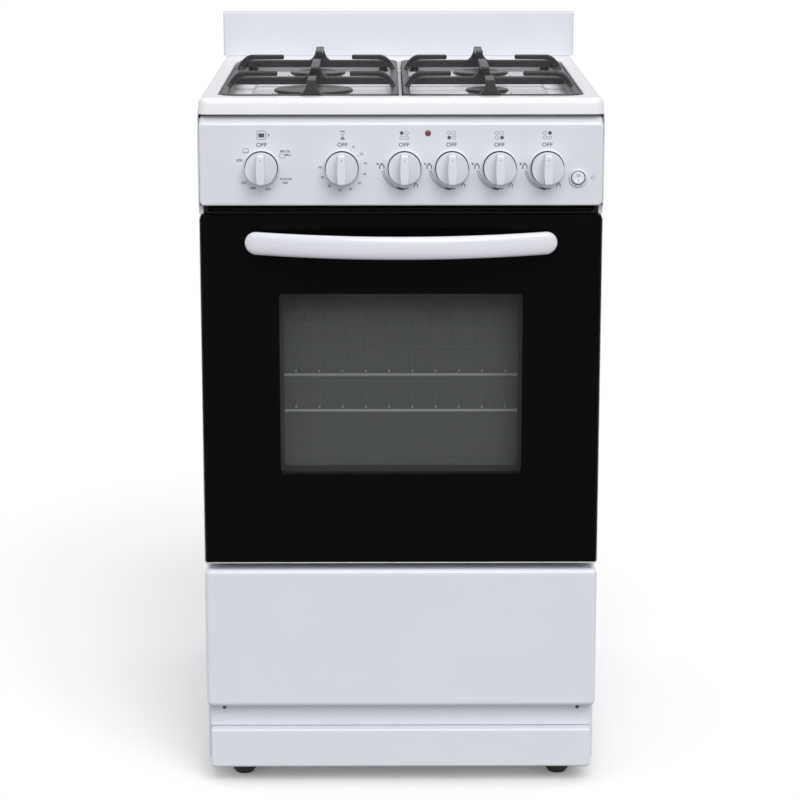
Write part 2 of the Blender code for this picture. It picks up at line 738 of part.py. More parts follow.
def knob(name, x, material):
    """Round skirt with a raised grip bar, and a blind bore for the spindle."""
    y0 = knob_back()
    y1 = y0 - KNOB_DEPTH
    bore = SPINDLE_RADIUS + GAP
    depth = y0 - SPINDLE_GRIP - GAP
    profile = [(0.0, y1), (KNOB_RADIUS - 0.003, y1), (KNOB_RADIUS - 0.001, y1 + 0.002),
               (KNOB_RADIUS, y0), (bore, y0), (bore, depth), (0.0, depth)]
    shape = turned(profile, (x, Z_KNOB), "Y", 20)
    reach = KNOB_RADIUS * 1.5
    sides = [block(x + side * reach / 2 + side * KNOB_GRIP / 2 - reach / 2,
                   x + side * reach / 2 + side * KNOB_GRIP / 2 + reach / 2,
                   y1 - 0.01, y0 - KNOB_SKIRT, Z_KNOB - reach, Z_KNOB + reach) for side in (-1, 1)]
    make_node(name, cut(shape, *sides), material, (x, y0, Z_KNOB))


def spindle(name, x, material):
    """Shaft from the valve to the knob."""
    y0, y1 = knob_back() - SPINDLE_GRIP, FRONT + SPINDLE_TAIL
    make_node(name, rod((x, Z_KNOB), y0, y1, SPINDLE_RADIUS, "Y", 10), material, (x, FRONT, Z_KNOB))


def supply_x():
    """Side of the gas supply pipe."""
    return HALF - 0.035


def gas_manifold(material):
    """Gas rail behind the panel with its taps, and the supply pipe to the rear."""
    y = FRONT + MANIFOLD_INSET
    shape = rod((y, Z_KNOB), KNOBS["thermostat"] - 0.02, supply_x(), MANIFOLD_RADIUS, "X")
    shape = join(shape, rod((supply_x(), Z_KNOB), y - MANIFOLD_RADIUS * 1.2, BACK - 0.003,
                            MANIFOLD_RADIUS * 1.1, "Y"))
    taps = [x for name, x in KNOBS.items() if name != "timer"]
    bore = SPINDLE_RADIUS + 3 * GAP
    end = FRONT + SPINDLE_TAIL + KNOB_TRAVEL + 0.002
    for x in taps:
        shape = join(shape, rod((x, Z_KNOB), FRONT + VALVE_FRONT, y, VALVE_RADIUS, "Y"))
        shape = cut(shape, rod((x, Z_KNOB), FRONT, end, bore, "Y", 10))
    make_node("gas_manifold", shape, material)


def indicator_lamp(material):
    """Domed lens in the panel."""
    profile = [(0.0, FRONT - 0.0018), (LAMP_RADIUS * 0.7, FRONT - 0.0012), (LAMP_RADIUS, FRONT),
               (LAMP_RADIUS, FRONT + 0.012), (0.0, FRONT + 0.012)]
    make_node("indicator_lamp", turned(profile, (LAMP_X, Z_PANEL + LAMP_RISE), "Y", 16), material)


def rocker_bezel(material):
    """Ring and barrel of the round rocker switch."""
    inner = ROCKER_RADIUS + 2 * GAP
    barrel = inner + SHEET
    y = FRONT - GAP
    profile = [(inner, y - 0.0022), (BEZEL_RADIUS - 0.001, y - 0.0022), (BEZEL_RADIUS, y - 0.0012),
               (BEZEL_RADIUS, y), (barrel, y), (barrel, FRONT + 0.014), (inner, FRONT + 0.014)]
    shape = turned(profile, (ROCKER_X, Z_PANEL + ROCKER_RISE), "Y", 20, closed=True)
    make_node("rocker_bezel", shape, material)


def rocker_switch(material):
    """Ball-sided rocker, tilted to its off side."""
    centre = (ROCKER_X, FRONT + 0.0005, Z_PANEL + ROCKER_RISE)
    limit = math.radians(32)
    steps = 2
    profile = [(0.0, -0.0034)]
    for k in range(-steps, steps + 1):
        angle = limit * k / steps
        profile.append((ROCKER_RADIUS * math.cos(angle), ROCKER_RADIUS * math.sin(angle)))
    profile.append((0.0, profile[-1][1]))
    shape = turned(profile, (0.0, 0.0), "Y", 16)
    node = make_node("rocker_switch", shape, material)
    node.rotation_euler = (-ROCKER_TILT, 0.0, 0.0)
    node.location = centre


def hob_top(material):
    """Pressed hob: rim, well and raised middle, with a hole for each burner."""
    y_well = (FRONT + RIM_FRONT, FRONT + RIM_FRONT + GRATE_DEPTH + 2 * GRATE_MARGIN)
    wall = HALF - RIM_SIDE

    def outer(inset, z):
        return (-HALF + inset, HALF - inset, FRONT + inset, BACK - inset, 0.012 - inset, z)

    def well(inset, z):
        return (-wall + inset, wall - inset, y_well[0] + inset, y_well[1] - inset, 0.024 - inset / 2, z)

    slope = PLATEAU_RISE * 1.5
    edge = 0.006
    rows = [
        well(PLATEAU_MARGIN + slope, Z_PLATEAU), well(PLATEAU_MARGIN, Z_WELL), well(0.002, Z_WELL),
        well(0.0, Z_WELL + 0.002), well(0.0, Z_RIM - 0.002), well(-0.002, Z_RIM),
        outer(edge, Z_RIM), outer(edge * 0.3, Z_RIM - edge * 0.3), outer(0.0, Z_RIM - edge),
        outer(0.0, Z_HOB), outer(SHEET, Z_HOB), outer(SHEET, Z_RIM - edge),
        outer(edge, Z_RIM - SHEET), well(-0.002 - SHEET / 2, Z_RIM - SHEET),
        well(-SHEET, Z_RIM - 0.002 - SHEET),
        well(-SHEET, Z_WELL + 0.002 - SHEET), well(0.002 - SHEET / 2, Z_WELL - SHEET),
        well(PLATEAU_MARGIN + SHEET / 2, Z_WELL - SHEET),
        well(PLATEAU_MARGIN + slope + SHEET / 2, Z_PLATEAU - SHEET),
    ]
    holes = [rod(place, Z_WELL - 0.02, Z_RIM + 0.02, CAP_RADII[name] * 0.7 + 0.001, "Z", 20)
             for name, place in BURNERS.items()]
    make_node("hob_top", cut(pressed(rows, "Z"), *holes), material)


def splashback(material):
    """Low upstand along the rear of the hob, open at the bottom."""
    shape = tray(-HALF, HALF, BACK - SPLASH_THICKNESS, BACK, 0.004, Z_RIM + SPLASH_HEIGHT, Z_RIM + GAP,
                 0.003, SHEET, "Z")
    make_node("splashback", shape, material)


def burner_crown(name, place, radius, material):
    """Aluminium burner body that stands in the hob's hole and on its surface."""
    base = Z_PLATEAU + GAP
    top = base + CROWN_RISE
    neck = radius * 0.7
    wall = 0.002
    hole = 0.006
    profile = [(neck, base - 0.016), (neck, base), (radius * 0.95, base), (radius * 0.97, base + 0.0015),
               (radius * 0.88, base + 0.0025), (radius * 0.88, top), (hole, top),
               (hole, top - 0.003), (neck - wall, top - 0.003), (neck - wall, base - 0.016)]
    make_node(name, turned(profile, place, "Z", 20, closed=True), material)


def burner_cap(name, place, radius, material):
    """Enamelled cap with a shallow dish on top and a locating stub."""
    z = Z_PLATEAU + CROWN_RISE + 2 * GAP
    dish = 0.001
    profile = [(0.0, z - 0.0035), (0.005, z - 0.0035), (0.005, z), (radius - 0.001, z), (radius, z + 0.001),
               (radius, z + CAP_HEIGHT - 0.0018), (radius - 0.0016, z + CAP_HEIGHT - 0.0004),
               (radius * 0.75, z + CAP_HEIGHT), (radius * 0.68, z + CAP_HEIGHT - dish),
               (0.0, z + CAP_HEIGHT - dish)]
    make_node(name, turned(profile, place, "Z", 20), material, (*place, z))


def grate_span(side):
    """A grate's limits across and from front to back."""
    inner, outer = GRATE_SPLIT / 2, HALF - RIM_SIDE - GRATE_MARGIN
    x0, x1 = sorted((side * inner, side * outer))
    y0 = FRONT + RIM_FRONT + GRATE_MARGIN
    return x0, x1, y0, y0 + GRATE_DEPTH


def arm_outline(x_bar, x_tip, z_bar, z_top):
    """Side view of an arched arm from a side bar to its tip."""
    toward = math.copysign(1.0, x_tip - x_bar)
    thick = FINGER_THICKNESS
    steps = 5
    low, high = [], []
    for k in range(steps + 1):
        angle = math.pi / 2 * k / steps
        rise = math.sin(angle)
        along = (1 - math.cos(angle)) ** ARCH_SLANT
        high.append((x_bar + toward * ARCH_LENGTH * along, z_bar + (z_top - z_bar) * rise))
        low.append((x_bar + toward * (thick + (ARCH_LENGTH - thick / 2) * along),
                    z_bar + (z_top - thick - z_bar) * rise))
    return high + [(x_tip, z_top), (x_tip, z_top - thick)] + low[::-1]


def horn_outline(x, z_bar, z_top):
    """Front view of a flared horn under a front or rear finger."""
    half = FINGER_WIDTH / 2
    steps = 4
    right = []
    for k in range(steps + 1):
        angle = math.pi / 2 * k / steps
        right.append((half + HORN_FLARE * (1 - math.sin(angle)),
                      z_bar + (z_top - z_bar) * (1 - math.cos(angle))))
    return [(x + w, z) for w, z in right] + [(x - w, z) for w, z in right[::-1]]


def grate(name, side, material):
    """Cast pan support for two burners: frame, middle bar, four fingers for each burner and feet."""
    x0, x1, y0, y1 = grate_span(side)
    z0 = Z_WELL + GRATE_LIFT
    z1, top = z0 + GRATE_BAR_HEIGHT, Z_RIM + GRATE_TOP
    bar = GRATE_BAR
    inner = (x0 + bar, x1 - bar, y0 + bar, y1 - bar, GRATE_RADIUS - bar)
    outer = (x0, x1, y0, y1, GRATE_RADIUS)
    shape = pressed([(*outer, z0), (*outer, z1), (*inner, z1), (*inner, z0)], "Z", closed=True, steps=4)
    middle = FRONT + (BURNER_FRONT + BURNER_REAR) / 2
    bite = bar / 2
    shape = join(shape, block(x0 + bite, x1 - bite, middle - bar / 2, middle + bar / 2, z0, z1))
    half = FINGER_WIDTH / 2
    for burner_x, burner_y in [place for place in BURNERS.values() if place[0] * side > 0]:
        for x_bar, toward in ((x0 + 0.001, 1), (x1 - 0.001, -1)):
            tip = burner_x - toward * ARM_CLEAR
            arm = arm_outline(x_bar, tip, z0 + 0.001, top)
            shape = join(shape, prism(arm, burner_y - half * 0.8, burner_y + half * 0.8, "Y"))
        front = burner_y < middle
        y_low = (y0 if front else middle - bar / 2) + 0.0005
        y_high = (middle + bar / 2 if front else y1) - 0.0005
        horn = horn_outline(burner_x, z1 - 0.001, top)
        bars = ((y_low, y_low + bar - 0.001, burner_y - FINGER_CLEAR),
                (y_high - bar + 0.001, y_high, burner_y + FINGER_CLEAR))
        for y_start, y_end, tip in bars:
            lo, hi = sorted(((y_start + y_end) / 2, tip))
            finger = block(burner_x - half * 0.96, burner_x + half * 0.96, lo, hi,
                           top - FINGER_THICKNESS, top - 0.0004)
            shape = join(shape, finger)
        horns = bars if front else bars[1:]
        for y_start, y_end, _ in horns:
            shape = join(shape, prism(horn, y_start, y_end, "Y"))
    for x in (x0 + GRATE_RADIUS, x1 - GRATE_RADIUS):
        for y in (y0 + bar / 2, y1 - bar / 2):
            shape = join(shape, rod((x, y), Z_WELL + GAP, z0 + GRATE_BAR_HEIGHT / 2, bar * 0.42, "Z", 8))
    make_node(name, shape, material)


def build():
    """Make every piece of the range."""
    for old in list(bpy.data.objects):
        bpy.data.objects.remove(old)
    white = make_material("white_enamel", (0.78, 0.79, 0.82), 0.28)
    steel = make_material("zinc_steel", (0.50, 0.51, 0.52), 0.45, 1.0)
    oven_enamel = make_material("oven_enamel", (0.045, 0.047, 0.050), 0.35)
    black_glass = make_material("black_glass", (0.012, 0.012, 0.014), 0.06)
    clear_glass = make_material("window_glass", (0.10, 0.11, 0.11), 0.06)
    wire = make_material("chrome_wire", (0.60, 0.61, 0.62), 0.25, 1.0)
    white_plastic = make_material("white_plastic", (0.76, 0.78, 0.82), 0.35)
    black_plastic = make_material("black_plastic", (0.02, 0.02, 0.02), 0.5)
    iron = make_material("cast_iron", (0.025, 0.025, 0.027), 0.55, 0.2)
    cap_enamel = make_material("cap_enamel", (0.02, 0.02, 0.022), 0.3)
    alloy = make_material("burner_alloy", (0.62, 0.63, 0.65), 0.4, 1.0)
    brass = make_material("brass", (0.65, 0.50, 0.25), 0.35, 1.0)
    wool = make_material("mineral_wool", (0.70, 0.66, 0.50), 0.95)
    gasket = make_material("gasket", (0.06, 0.06, 0.06), 0.9)
    lens = make_material("red_lens", (0.18, 0.02, 0.02), 0.2)

    back_panel(steel)
    base_pan(steel)
    kick_panel(white)
    drawer_rail(white)
    drawer_front(white)
    drawer_box(steel)
    oven_liner(oven_enamel)
    oven_insulation(wool)
    oven_seal(gasket)
    oven_floor_plate(oven_enamel)
    oven_burner(steel)
    broil_burner(steel)
    vent_trim(black_plastic)
    control_panel(white)
    gas_manifold(brass)
    indicator_lamp(lens)
    rocker_bezel(white_plastic)
    rocker_switch(white_plastic)
    hob_top(white)
    splashback(white)
    door_frame(white)
    door_outer_glass(black_glass)
    door_inner_glass(clear_glass)
    door_handle(white_plastic)
    for label, side in (("left", -1), ("right", 1)):
        side_panel("side_panel_" + label, side, white)
        drawer_runner("drawer_runner_" + label, side, steel)
        rack_support("rack_support_" + label, side, wire)
        door_hinge("door_hinge_" + label, side, steel)
        grate("grate_" + label, side, iron)
    for name, level in RACK_LEVELS.items():
        oven_rack(name, level, wire)
    for name, place in foot_places().items():
        foot(name, place, black_plastic)
    for name, place in BURNERS.items():
        burner_crown("burner_crown_" + name, place, CAP_RADII[name], alloy)
        burner_cap("burner_cap_" + name, place, CAP_RADII[name], cap_enamel)
    for name, x in KNOBS.items():
        spindle("spindle_" + name, x, steel)
        knob("knob_" + name, x, white_plastic)


build()
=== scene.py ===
"""Looks for the freestanding gas range: every visible piece and its finish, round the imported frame."""

import json
import math

import bmesh
import bpy
from mathutils import Matrix, Vector

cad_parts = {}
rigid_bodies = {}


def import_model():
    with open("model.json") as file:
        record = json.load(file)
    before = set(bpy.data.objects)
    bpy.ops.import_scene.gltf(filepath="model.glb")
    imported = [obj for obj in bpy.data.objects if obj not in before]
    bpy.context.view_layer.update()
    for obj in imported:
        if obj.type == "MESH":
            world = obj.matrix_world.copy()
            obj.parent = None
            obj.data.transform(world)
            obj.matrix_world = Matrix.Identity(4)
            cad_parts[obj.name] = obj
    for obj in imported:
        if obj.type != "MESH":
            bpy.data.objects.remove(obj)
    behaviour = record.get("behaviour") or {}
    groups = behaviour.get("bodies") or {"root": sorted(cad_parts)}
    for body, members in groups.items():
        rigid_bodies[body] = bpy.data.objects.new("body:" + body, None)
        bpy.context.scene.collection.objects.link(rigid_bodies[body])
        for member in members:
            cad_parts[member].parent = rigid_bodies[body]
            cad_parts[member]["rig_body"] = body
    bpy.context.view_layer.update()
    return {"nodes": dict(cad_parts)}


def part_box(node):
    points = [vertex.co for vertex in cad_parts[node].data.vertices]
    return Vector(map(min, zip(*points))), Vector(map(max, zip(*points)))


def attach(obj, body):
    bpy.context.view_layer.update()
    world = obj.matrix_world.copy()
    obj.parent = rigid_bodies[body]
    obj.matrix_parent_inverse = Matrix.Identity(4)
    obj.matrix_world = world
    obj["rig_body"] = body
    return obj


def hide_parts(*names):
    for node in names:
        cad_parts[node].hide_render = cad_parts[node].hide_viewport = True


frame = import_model()
NODES = frame["nodes"]

# ---------------------------------------------------------------- places, from the frame's boxes
GLASS_LOW, GLASS_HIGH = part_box("door_outer_glass")
HOB_LOW, HOB_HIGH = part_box("hob_top")
PANEL_LOW, PANEL_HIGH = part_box("control_panel")
DRAWER_LOW, DRAWER_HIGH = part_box("drawer_front")
RAIL_LOW, RAIL_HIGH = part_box("drawer_rail")
KICK_LOW, KICK_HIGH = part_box("kick_panel")
SPLASH_LOW, SPLASH_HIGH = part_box("splashback")
HANDLE_LOW, HANDLE_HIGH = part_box("door_handle")
LINER_LOW, LINER_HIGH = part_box("oven_liner")
SEAL_LOW, SEAL_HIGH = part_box("oven_seal")
INNER_LOW, INNER_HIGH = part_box("door_inner_glass")
FRONT = GLASS_LOW.y
HALF = HOB_HIGH.x
MOUTH = LINER_LOW.y
SHEET = 0.0012
Z_RIM, Z_HOB = HOB_HIGH.z, HOB_LOW.z
BURNER_NAMES = ("rear_left", "front_left", "front_right", "rear_right")
KNOB_NAMES = ("thermostat", "timer", "rear_left", "front_left", "front_right", "rear_right")
WELL_DEPTH = 0.017
PLATEAU_RISE = 0.004
PANEL_MARGIN = 0.0020        # the panel's face stands in from the body's sides
RACK_WIRE = 0.0020           # radius of a rack's rim wire
RACK_BEND = 0.026
RACK_PITCH = 0.0298
RACK_WIRES = 10
GRATE_BAR = 0.010
GRATE_CORNER = 0.020
SLOT_SHIFT = {2: 0.35, 3: -0.22, 4: 0.22, 5: -0.35}    # narrows a crown's slot, in steps
VOXEL = 0.0011               # grain of the casting's softened surface

# ---------------------------------------------------------------- camera and light
CAMERA_LENS = 117.9
CAMERA_PLACE = (-0.0203, FRONT - 3.20, 1.232)
CAMERA_TILT = 12.69          # degrees below level
CAMERA_PAN = 0.34            # degrees to the right
SKY_LOW = (0.25, (0.20, 0.20, 0.21, 1.0))
SKY_HIGH = (0.62, (0.66, 0.66, 0.67, 1.0))
FLOOR_HALF = 60.0
FLOOR_GLOW = 0.08
# name, azimuth, elevation and spread in degrees, strength
LAMPS = (("key", 16, 44, 45, 1.64), ("fill", -45, 35, 60, 0.20))

PLANES = {
    "X": lambda u, v, w: (w, u, v),
    "Y": lambda u, v, w: (u, w, v),
    "Z": lambda u, v, w: (u, v, w),
}


def middle(node):
    """Centre of a node's box."""
    low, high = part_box(node)
    return (low + high) / 2


# ---------------------------------------------------------------- materials
def finish(name, colour, roughness, metallic=0.0, tone=0.03, tone_scale=9.0, spread=0.05, spread_scale=30.0,
           bump=0.00002, bump_scale=400.0, speck=None, coat=0.0, specular=0.5, alpha=1.0,
           stretch=(1, 1, 1)):
    """Principled finish with drifting tone, uneven gloss and fine relief; speck is (colour, scale, share)."""
    material = bpy.data.materials.new(name)
    material.use_nodes = True
    tree = material.node_tree
    shader = tree.nodes["Principled BSDF"]
    shader.inputs["Metallic"].default_value = metallic
    shader.inputs["Coat Weight"].default_value = coat
    shader.inputs["Coat Roughness"].default_value = 0.08
    shader.inputs["Specular IOR Level"].default_value = specular
    shader.inputs["Alpha"].default_value = alpha
    place = tree.nodes.new("ShaderNodeTexCoord")
    mapping = tree.nodes.new("ShaderNodeMapping")
    mapping.inputs["Scale"].default_value = stretch
    tree.links.new(place.outputs["Object"], mapping.inputs["Vector"])

    def noise(scale, detail):
        node = tree.nodes.new("ShaderNodeTexNoise")
        node.inputs["Scale"].default_value = scale
        node.inputs["Detail"].default_value = detail
        tree.links.new(mapping.outputs["Vector"], node.inputs["Vector"])
        return node.outputs["Fac"]

    def ramp(source, low, high, start=0.3, end=0.7):
        node = tree.nodes.new("ShaderNodeValToRGB")
        node.color_ramp.elements[0].position = start
        node.color_ramp.elements[1].position = end
        node.color_ramp.elements[0].color = (*low, 1.0)
        node.color_ramp.elements[1].color = (*high, 1.0)
        tree.links.new(source, node.inputs["Fac"])
        return node.outputs["Color"]

    base = ramp(noise(tone_scale, 3.0), [c * (1 - tone) for c in colour],
                [min(c * (1 + tone), 1) for c in colour])
    if speck:
        speck_colour, speck_scale, share = speck
        mix = tree.nodes.new("ShaderNodeMix")
        mix.data_type = "RGBA"
        mask = ramp(noise(speck_scale, 1.0), (0, 0, 0), (1, 1, 1), 1 - share, 1.02 - share)
        tree.links.new(mask, mix.inputs["Factor"])
        tree.links.new(base, mix.inputs["A"])
        mix.inputs["B"].default_value = (*speck_colour, 1.0)
        base = mix.outputs["Result"]
    tree.links.new(base, shader.inputs["Base Color"])
    gloss = tree.nodes.new("ShaderNodeMapRange")
    gloss.inputs["From Min"].default_value = 0.3
    gloss.inputs["From Max"].default_value = 0.7
    gloss.inputs["To Min"].default_value = max(roughness - spread, 0.02)
    gloss.inputs["To Max"].default_value = min(roughness + spread, 1.0)
    tree.links.new(noise(spread_scale, 4.0), gloss.inputs["Value"])
    tree.links.new(gloss.outputs["Result"], shader.inputs["Roughness"])
    relief = tree.nodes.new("ShaderNodeBump")
    relief.inputs["Distance"].default_value = bump
    relief.inputs["Strength"].default_value = 1.0
    tree.links.new(noise(bump_scale, 2.0), relief.inputs["Height"])
    tree.links.new(relief.outputs["Normal"], shader.inputs["Normal"])
    material.diffuse_color = (*colour, 1.0)
    return material


WHITE = (0.745, 0.762, 0.812)
ENAMEL = finish("enamel_white", WHITE, 0.20, tone=0.012, bump=0.00003, bump_scale=260, coat=0.25)
# the hob's own enamel, with a lighter colour than the body's white enamel as painted light on its rim and lip
HOB_ENAMEL_PAINTED_LIGHT = finish("enamel_hob_painted_light", (0.86, 0.868, 0.89), 0.26, tone=0.006, spread=0.012, bump=0.0000012,
                    bump_scale=220, coat=0.1, specular=0.4)
PLASTIC = finish("plastic_white", (0.77, 0.785, 0.82), 0.30, tone=0.01, bump=0.00001, bump_scale=2500)
HANDLE_WHITE = finish("handle_white", (0.78, 0.79, 0.84), 0.16, tone=0.01, bump=0.00002, bump_scale=300,
                      coat=0.3)
BLACK_PLASTIC = finish("plastic_black", (0.018, 0.018, 0.019), 0.45, tone=0.15, bump=0.00003,
                       bump_scale=2200)
ZINC = finish("zinc_sheet", (0.55, 0.56, 0.57), 0.42, metallic=1.0, tone=0.12, tone_scale=70, spread=0.12,
              spread_scale=60, bump=0.00002, bump_scale=300)
OVEN = finish("oven_enamel", (0.23, 0.236, 0.24), 0.38, tone=0.03, speck=((0.33, 0.35, 0.37), 900, 0.26),
              spread=0.02, bump=0.00001, bump_scale=350, coat=0.1)
WOOL = finish("mineral_wool", (0.62, 0.55, 0.36), 0.95, tone=0.20, tone_scale=120, bump=0.0012,
              bump_scale=240, stretch=(1, 1, 4))
GASKET = finish("gasket_braid", (0.10, 0.10, 0.10), 0.90, tone=0.30, tone_scale=700, bump=0.0005,
                bump_scale=900)
GASKET_GREY = finish("gasket_grey", (0.035, 0.035, 0.037), 0.6, tone=0.1, tone_scale=300, bump=0.00002,
                     bump_scale=1200)
CHROME = finish("chrome_wire", (0.78, 0.79, 0.80), 0.14, metallic=1.0, tone=0.05, tone_scale=90,
                spread=0.05)
# painted light: two copies of the rack chrome, a near-white one as a painted highlight and a dark grey one as
# painted shade
RACK_PAINTED_HIGHLIGHT = finish("chrome_painted_highlight", (0.97, 0.98, 0.98), 0.30, metallic=0.1, tone=0.03, tone_scale=90,
                     spread=0.04)
RACK_PAINTED_SHADE = finish("chrome_painted_shade", (0.27, 0.28, 0.285), 0.45, metallic=0.3, tone=0.05, tone_scale=90,
                   spread=0.05)
GLASS_BLACK = finish("glass_black", (0.0022, 0.0022, 0.0026), 0.05, tone=0.10, spread=0.015,
                     spread_scale=12,
                     bump=0.000002, bump_scale=60, specular=0.03)
GLASS_CLEAR = finish("glass_window", (0.050, 0.053, 0.055), 0.06, tone=0.04, spread=0.02, spread_scale=14,
                     bump=0.000002, bump_scale=60, specular=0.08, alpha=0.06)
# painted light: the inner pane carries a diffuse grey haze standing in for the reflections and lit interior
# that make the window grey
GLASS_INNER_PAINTED_LIGHT = finish("glass_inner_painted_light", (0.205, 0.217, 0.220), 0.20, tone=0.02, spread=0.02, spread_scale=14,
                     bump=0.000002, bump_scale=60, specular=0.05, alpha=0.32)
BRASS = finish("brass", (0.62, 0.46, 0.20), 0.30, metallic=1.0, tone=0.12, tone_scale=80, spread=0.10,
               bump=0.00003, bump_scale=900)
RED_LENS = finish("lens_red", (0.16, 0.012, 0.012), 0.15, tone=0.15, tone_scale=600, bump=0.00004,
                  bump_scale=1500, coat=0.6)
IRON = finish("cast_iron", (0.020, 0.020, 0.021), 0.36, tone=0.25, tone_scale=160, spread=0.08,
              spread_scale=220, bump=0.00010, bump_scale=1100)
CAP = finish("cap_enamel", (0.016, 0.016, 0.018), 0.34, tone=0.08, tone_scale=140, spread=0.03,
             bump=0.000005, bump_scale=700, specular=0.4)
ALLOY = finish("burner_alloy", (0.72, 0.73, 0.75), 0.38, metallic=1.0, tone=0.10, tone_scale=160,
               spread=0.10, spread_scale=200, bump=0.00008, bump_scale=1600)
STEEL = finish("steel_bright", (0.60, 0.60, 0.61), 0.28, metallic=1.0, tone=0.06, tone_scale=200,
               spread=0.08,
               bump=0.00002, bump_scale=1200)
DARK_STEEL = finish("steel_dark", (0.10, 0.10, 0.105), 0.40, metallic=0.8, tone=0.10, tone_scale=300,
                    bump=0.00003, bump_scale=1500)
CERAMIC = finish("ceramic", (0.76, 0.73, 0.68), 0.35, tone=0.04, tone_scale=200, bump=0.00003,
                 bump_scale=1500)
INK = finish("ink_grey", (0.075, 0.085, 0.10), 0.50, tone=0.08, tone_scale=500, bump=0.000005,
             bump_scale=3000)
INK_LIGHT = finish("ink_light", (0.22, 0.235, 0.26), 0.50, tone=0.08, tone_scale=500, bump=0.000005,
                   bump_scale=3000)
RUBBER = finish("rubber_black", (0.015, 0.015, 0.015), 0.75, tone=0.20, tone_scale=300, bump=0.00005,
                bump_scale=1800)
# near-black plastic for the louvre; on the door frame it is painted shade
DEEP_BLACK_AND_SHADE = finish("plastic_deep_black_and_painted_shade", (0.006, 0.006, 0.0065), 0.6, tone=0.2, tone_scale=200,
                    bump=0.00002,
                    bump_scale=1500, specular=0.25)
SHADOW_GAP = finish("gap_dark", (0.020, 0.020, 0.022), 0.85, tone=0.20, tone_scale=300, bump=0.00002,
                    bump_scale=1800)


# ---------------------------------------------------------------- shapes
def outline(u0, u1, v0, v1, radius, steps=8):
    """Points round a rectangle whose corners are quarter circles."""
    radius = max(radius, 0.0002)
    corners = ((u1 - radius, v1 - radius), (u0 + radius, v1 - radius),
               (u0 + radius, v0 + radius), (u1 - radius, v0 + radius))
    points = []
    for quarter, (cu, cv) in enumerate(corners):
        for k in range(steps + 1):
            angle = math.pi / 2 * (quarter + k / steps)
            points.append((cu + radius * math.cos(angle), cv + radius * math.sin(angle)))
    return points


def skin(loops, closed=False, capped=True):
    """Skin equally long outlines of 3-D points."""
    shape = bmesh.new()
    rings = [[shape.verts.new(point) for point in loop] for loop in loops]
    pairs = list(zip(rings, rings[1:]))
    if closed:
        pairs.append((rings[-1], rings[0]))
    elif capped:
        shape.faces.new(rings[0])
        shape.faces.new(rings[-1])
    for first, second in pairs:
        count = len(first)
        for k in range(count):
            n = (k + 1) % count
            shape.faces.new((first[k], first[n], second[n], second[k]))
    bmesh.ops.recalc_face_normals(shape, faces=shape.faces)
    return shape


def pressed(rows, axis, closed=False, steps=8):
    """Skin rounded rectangles, each given as (u0, u1, v0, v1, radius, w)."""
    place = PLANES[axis]
    return skin([[place(u, v, w) for u, v in outline(*row[:5], steps)]
                 for row in rows for w in (row[5],)], closed)


def quarter(steps):
    """Shares (1 - sine, 1 - cosine) round a quarter turn, for a rolled edge."""
    angles = [math.pi / 2 * k / steps for k in range(steps + 1)]
    return [(1 - math.sin(angle), 1 - math.cos(angle)) for angle in angles]


def tray(u0, u1, v0, v1, radius, w_closed, w_open, edge, axis, thickness=SHEET, steps=8, arc=5):
    """A sheet tray with one closed face, rolled into its walls with a true radius."""
    sign = math.copysign(1.0, w_open - w_closed)

    def row(inset, w):
        return (u0 + inset, u1 - inset, v0 + inset, v1 - inset, radius - inset, w)

    rows = [row(edge + 0.002, w_closed)]
    rows += [row(edge * s, w_closed + sign * edge * c) for s, c in quarter(arc)]
    inner = max(edge, thickness)
    rows += [row(0.0, w_open), row(thickness, w_open),
             row(thickness, w_closed + sign * (inner + thickness)),
             row(inner + thickness, w_closed + sign * thickness)]
    return pressed(rows, axis, steps=steps)


def prism(points, w0, w1, axis):
    """A flat outline pushed from w0 to w1 along an axis."""
    place = PLANES[axis]
    return skin([[place(u, v, w) for u, v in points] for w in (w0, w1)])


def block(x0, x1, y0, y1, z0, z1):
    """A bar between two corners."""
    return prism([(x0, y0), (x1, y0), (x1, y1), (x0, y1)], z0, z1, "Z")


def turned(profile, centre, axis, steps=48, closed=False):
    """A turned shape; profile holds (radius, w), with radius 0 where an end meets the axis."""
    place = PLANES[axis]
    cu, cv = centre
    shape = bmesh.new()
    rings = []
    for radius, w in profile:
        if radius == 0.0:
            rings.append([shape.verts.new(place(cu, cv, w))] * steps)
            continue
        rings.append([shape.verts.new(place(cu + radius * math.cos(2 * math.pi * k / steps),
                                            cv + radius * math.sin(2 * math.pi * k / steps), w))
                      for k in range(steps)])
    pairs = list(zip(rings, rings[1:]))
    if closed:
        pairs.append((rings[-1], rings[0]))
    for first, second in pairs:
        for k in range(steps):
            n = (k + 1) % steps
            shape.faces.new(dict.fromkeys((first[k], first[n], second[n], second[k])))
    bmesh.ops.recalc_face_normals(shape, faces=shape.faces)
    return shape


def tube(path, radius, steps=10):
    """A round wire through points, with domed ends."""
    points = [Vector(p) for p in path]
    loops = []
    side = None
    for k, point in enumerate(points):
        ahead = points[min(k + 1, len(points) - 1)] - points[max(k - 1, 0)]
        ahead.normalize()
        if side is None:
            side = ahead.orthogonal().normalized()
        side = (side - ahead * side.dot(ahead)).normalized()
        up = ahead.cross(side)
        ring = []
        for n in range(steps):
            angle = 2 * math.pi * n / steps
            ring.append(point + (side * math.cos(angle) + up * math.sin(angle)) * radius)
        loops.append((point, ahead, ring))
    first, last = loops[0], loops[-1]
    start = [first[0] + (p - first[0]) * 0.55 - first[1] * radius * 0.4 for p in first[2]]
    end = [last[0] + (p - last[0]) * 0.55 + last[1] * radius * 0.4 for p in last[2]]
    return skin([start] + [ring for _, _, ring in loops] + [end])


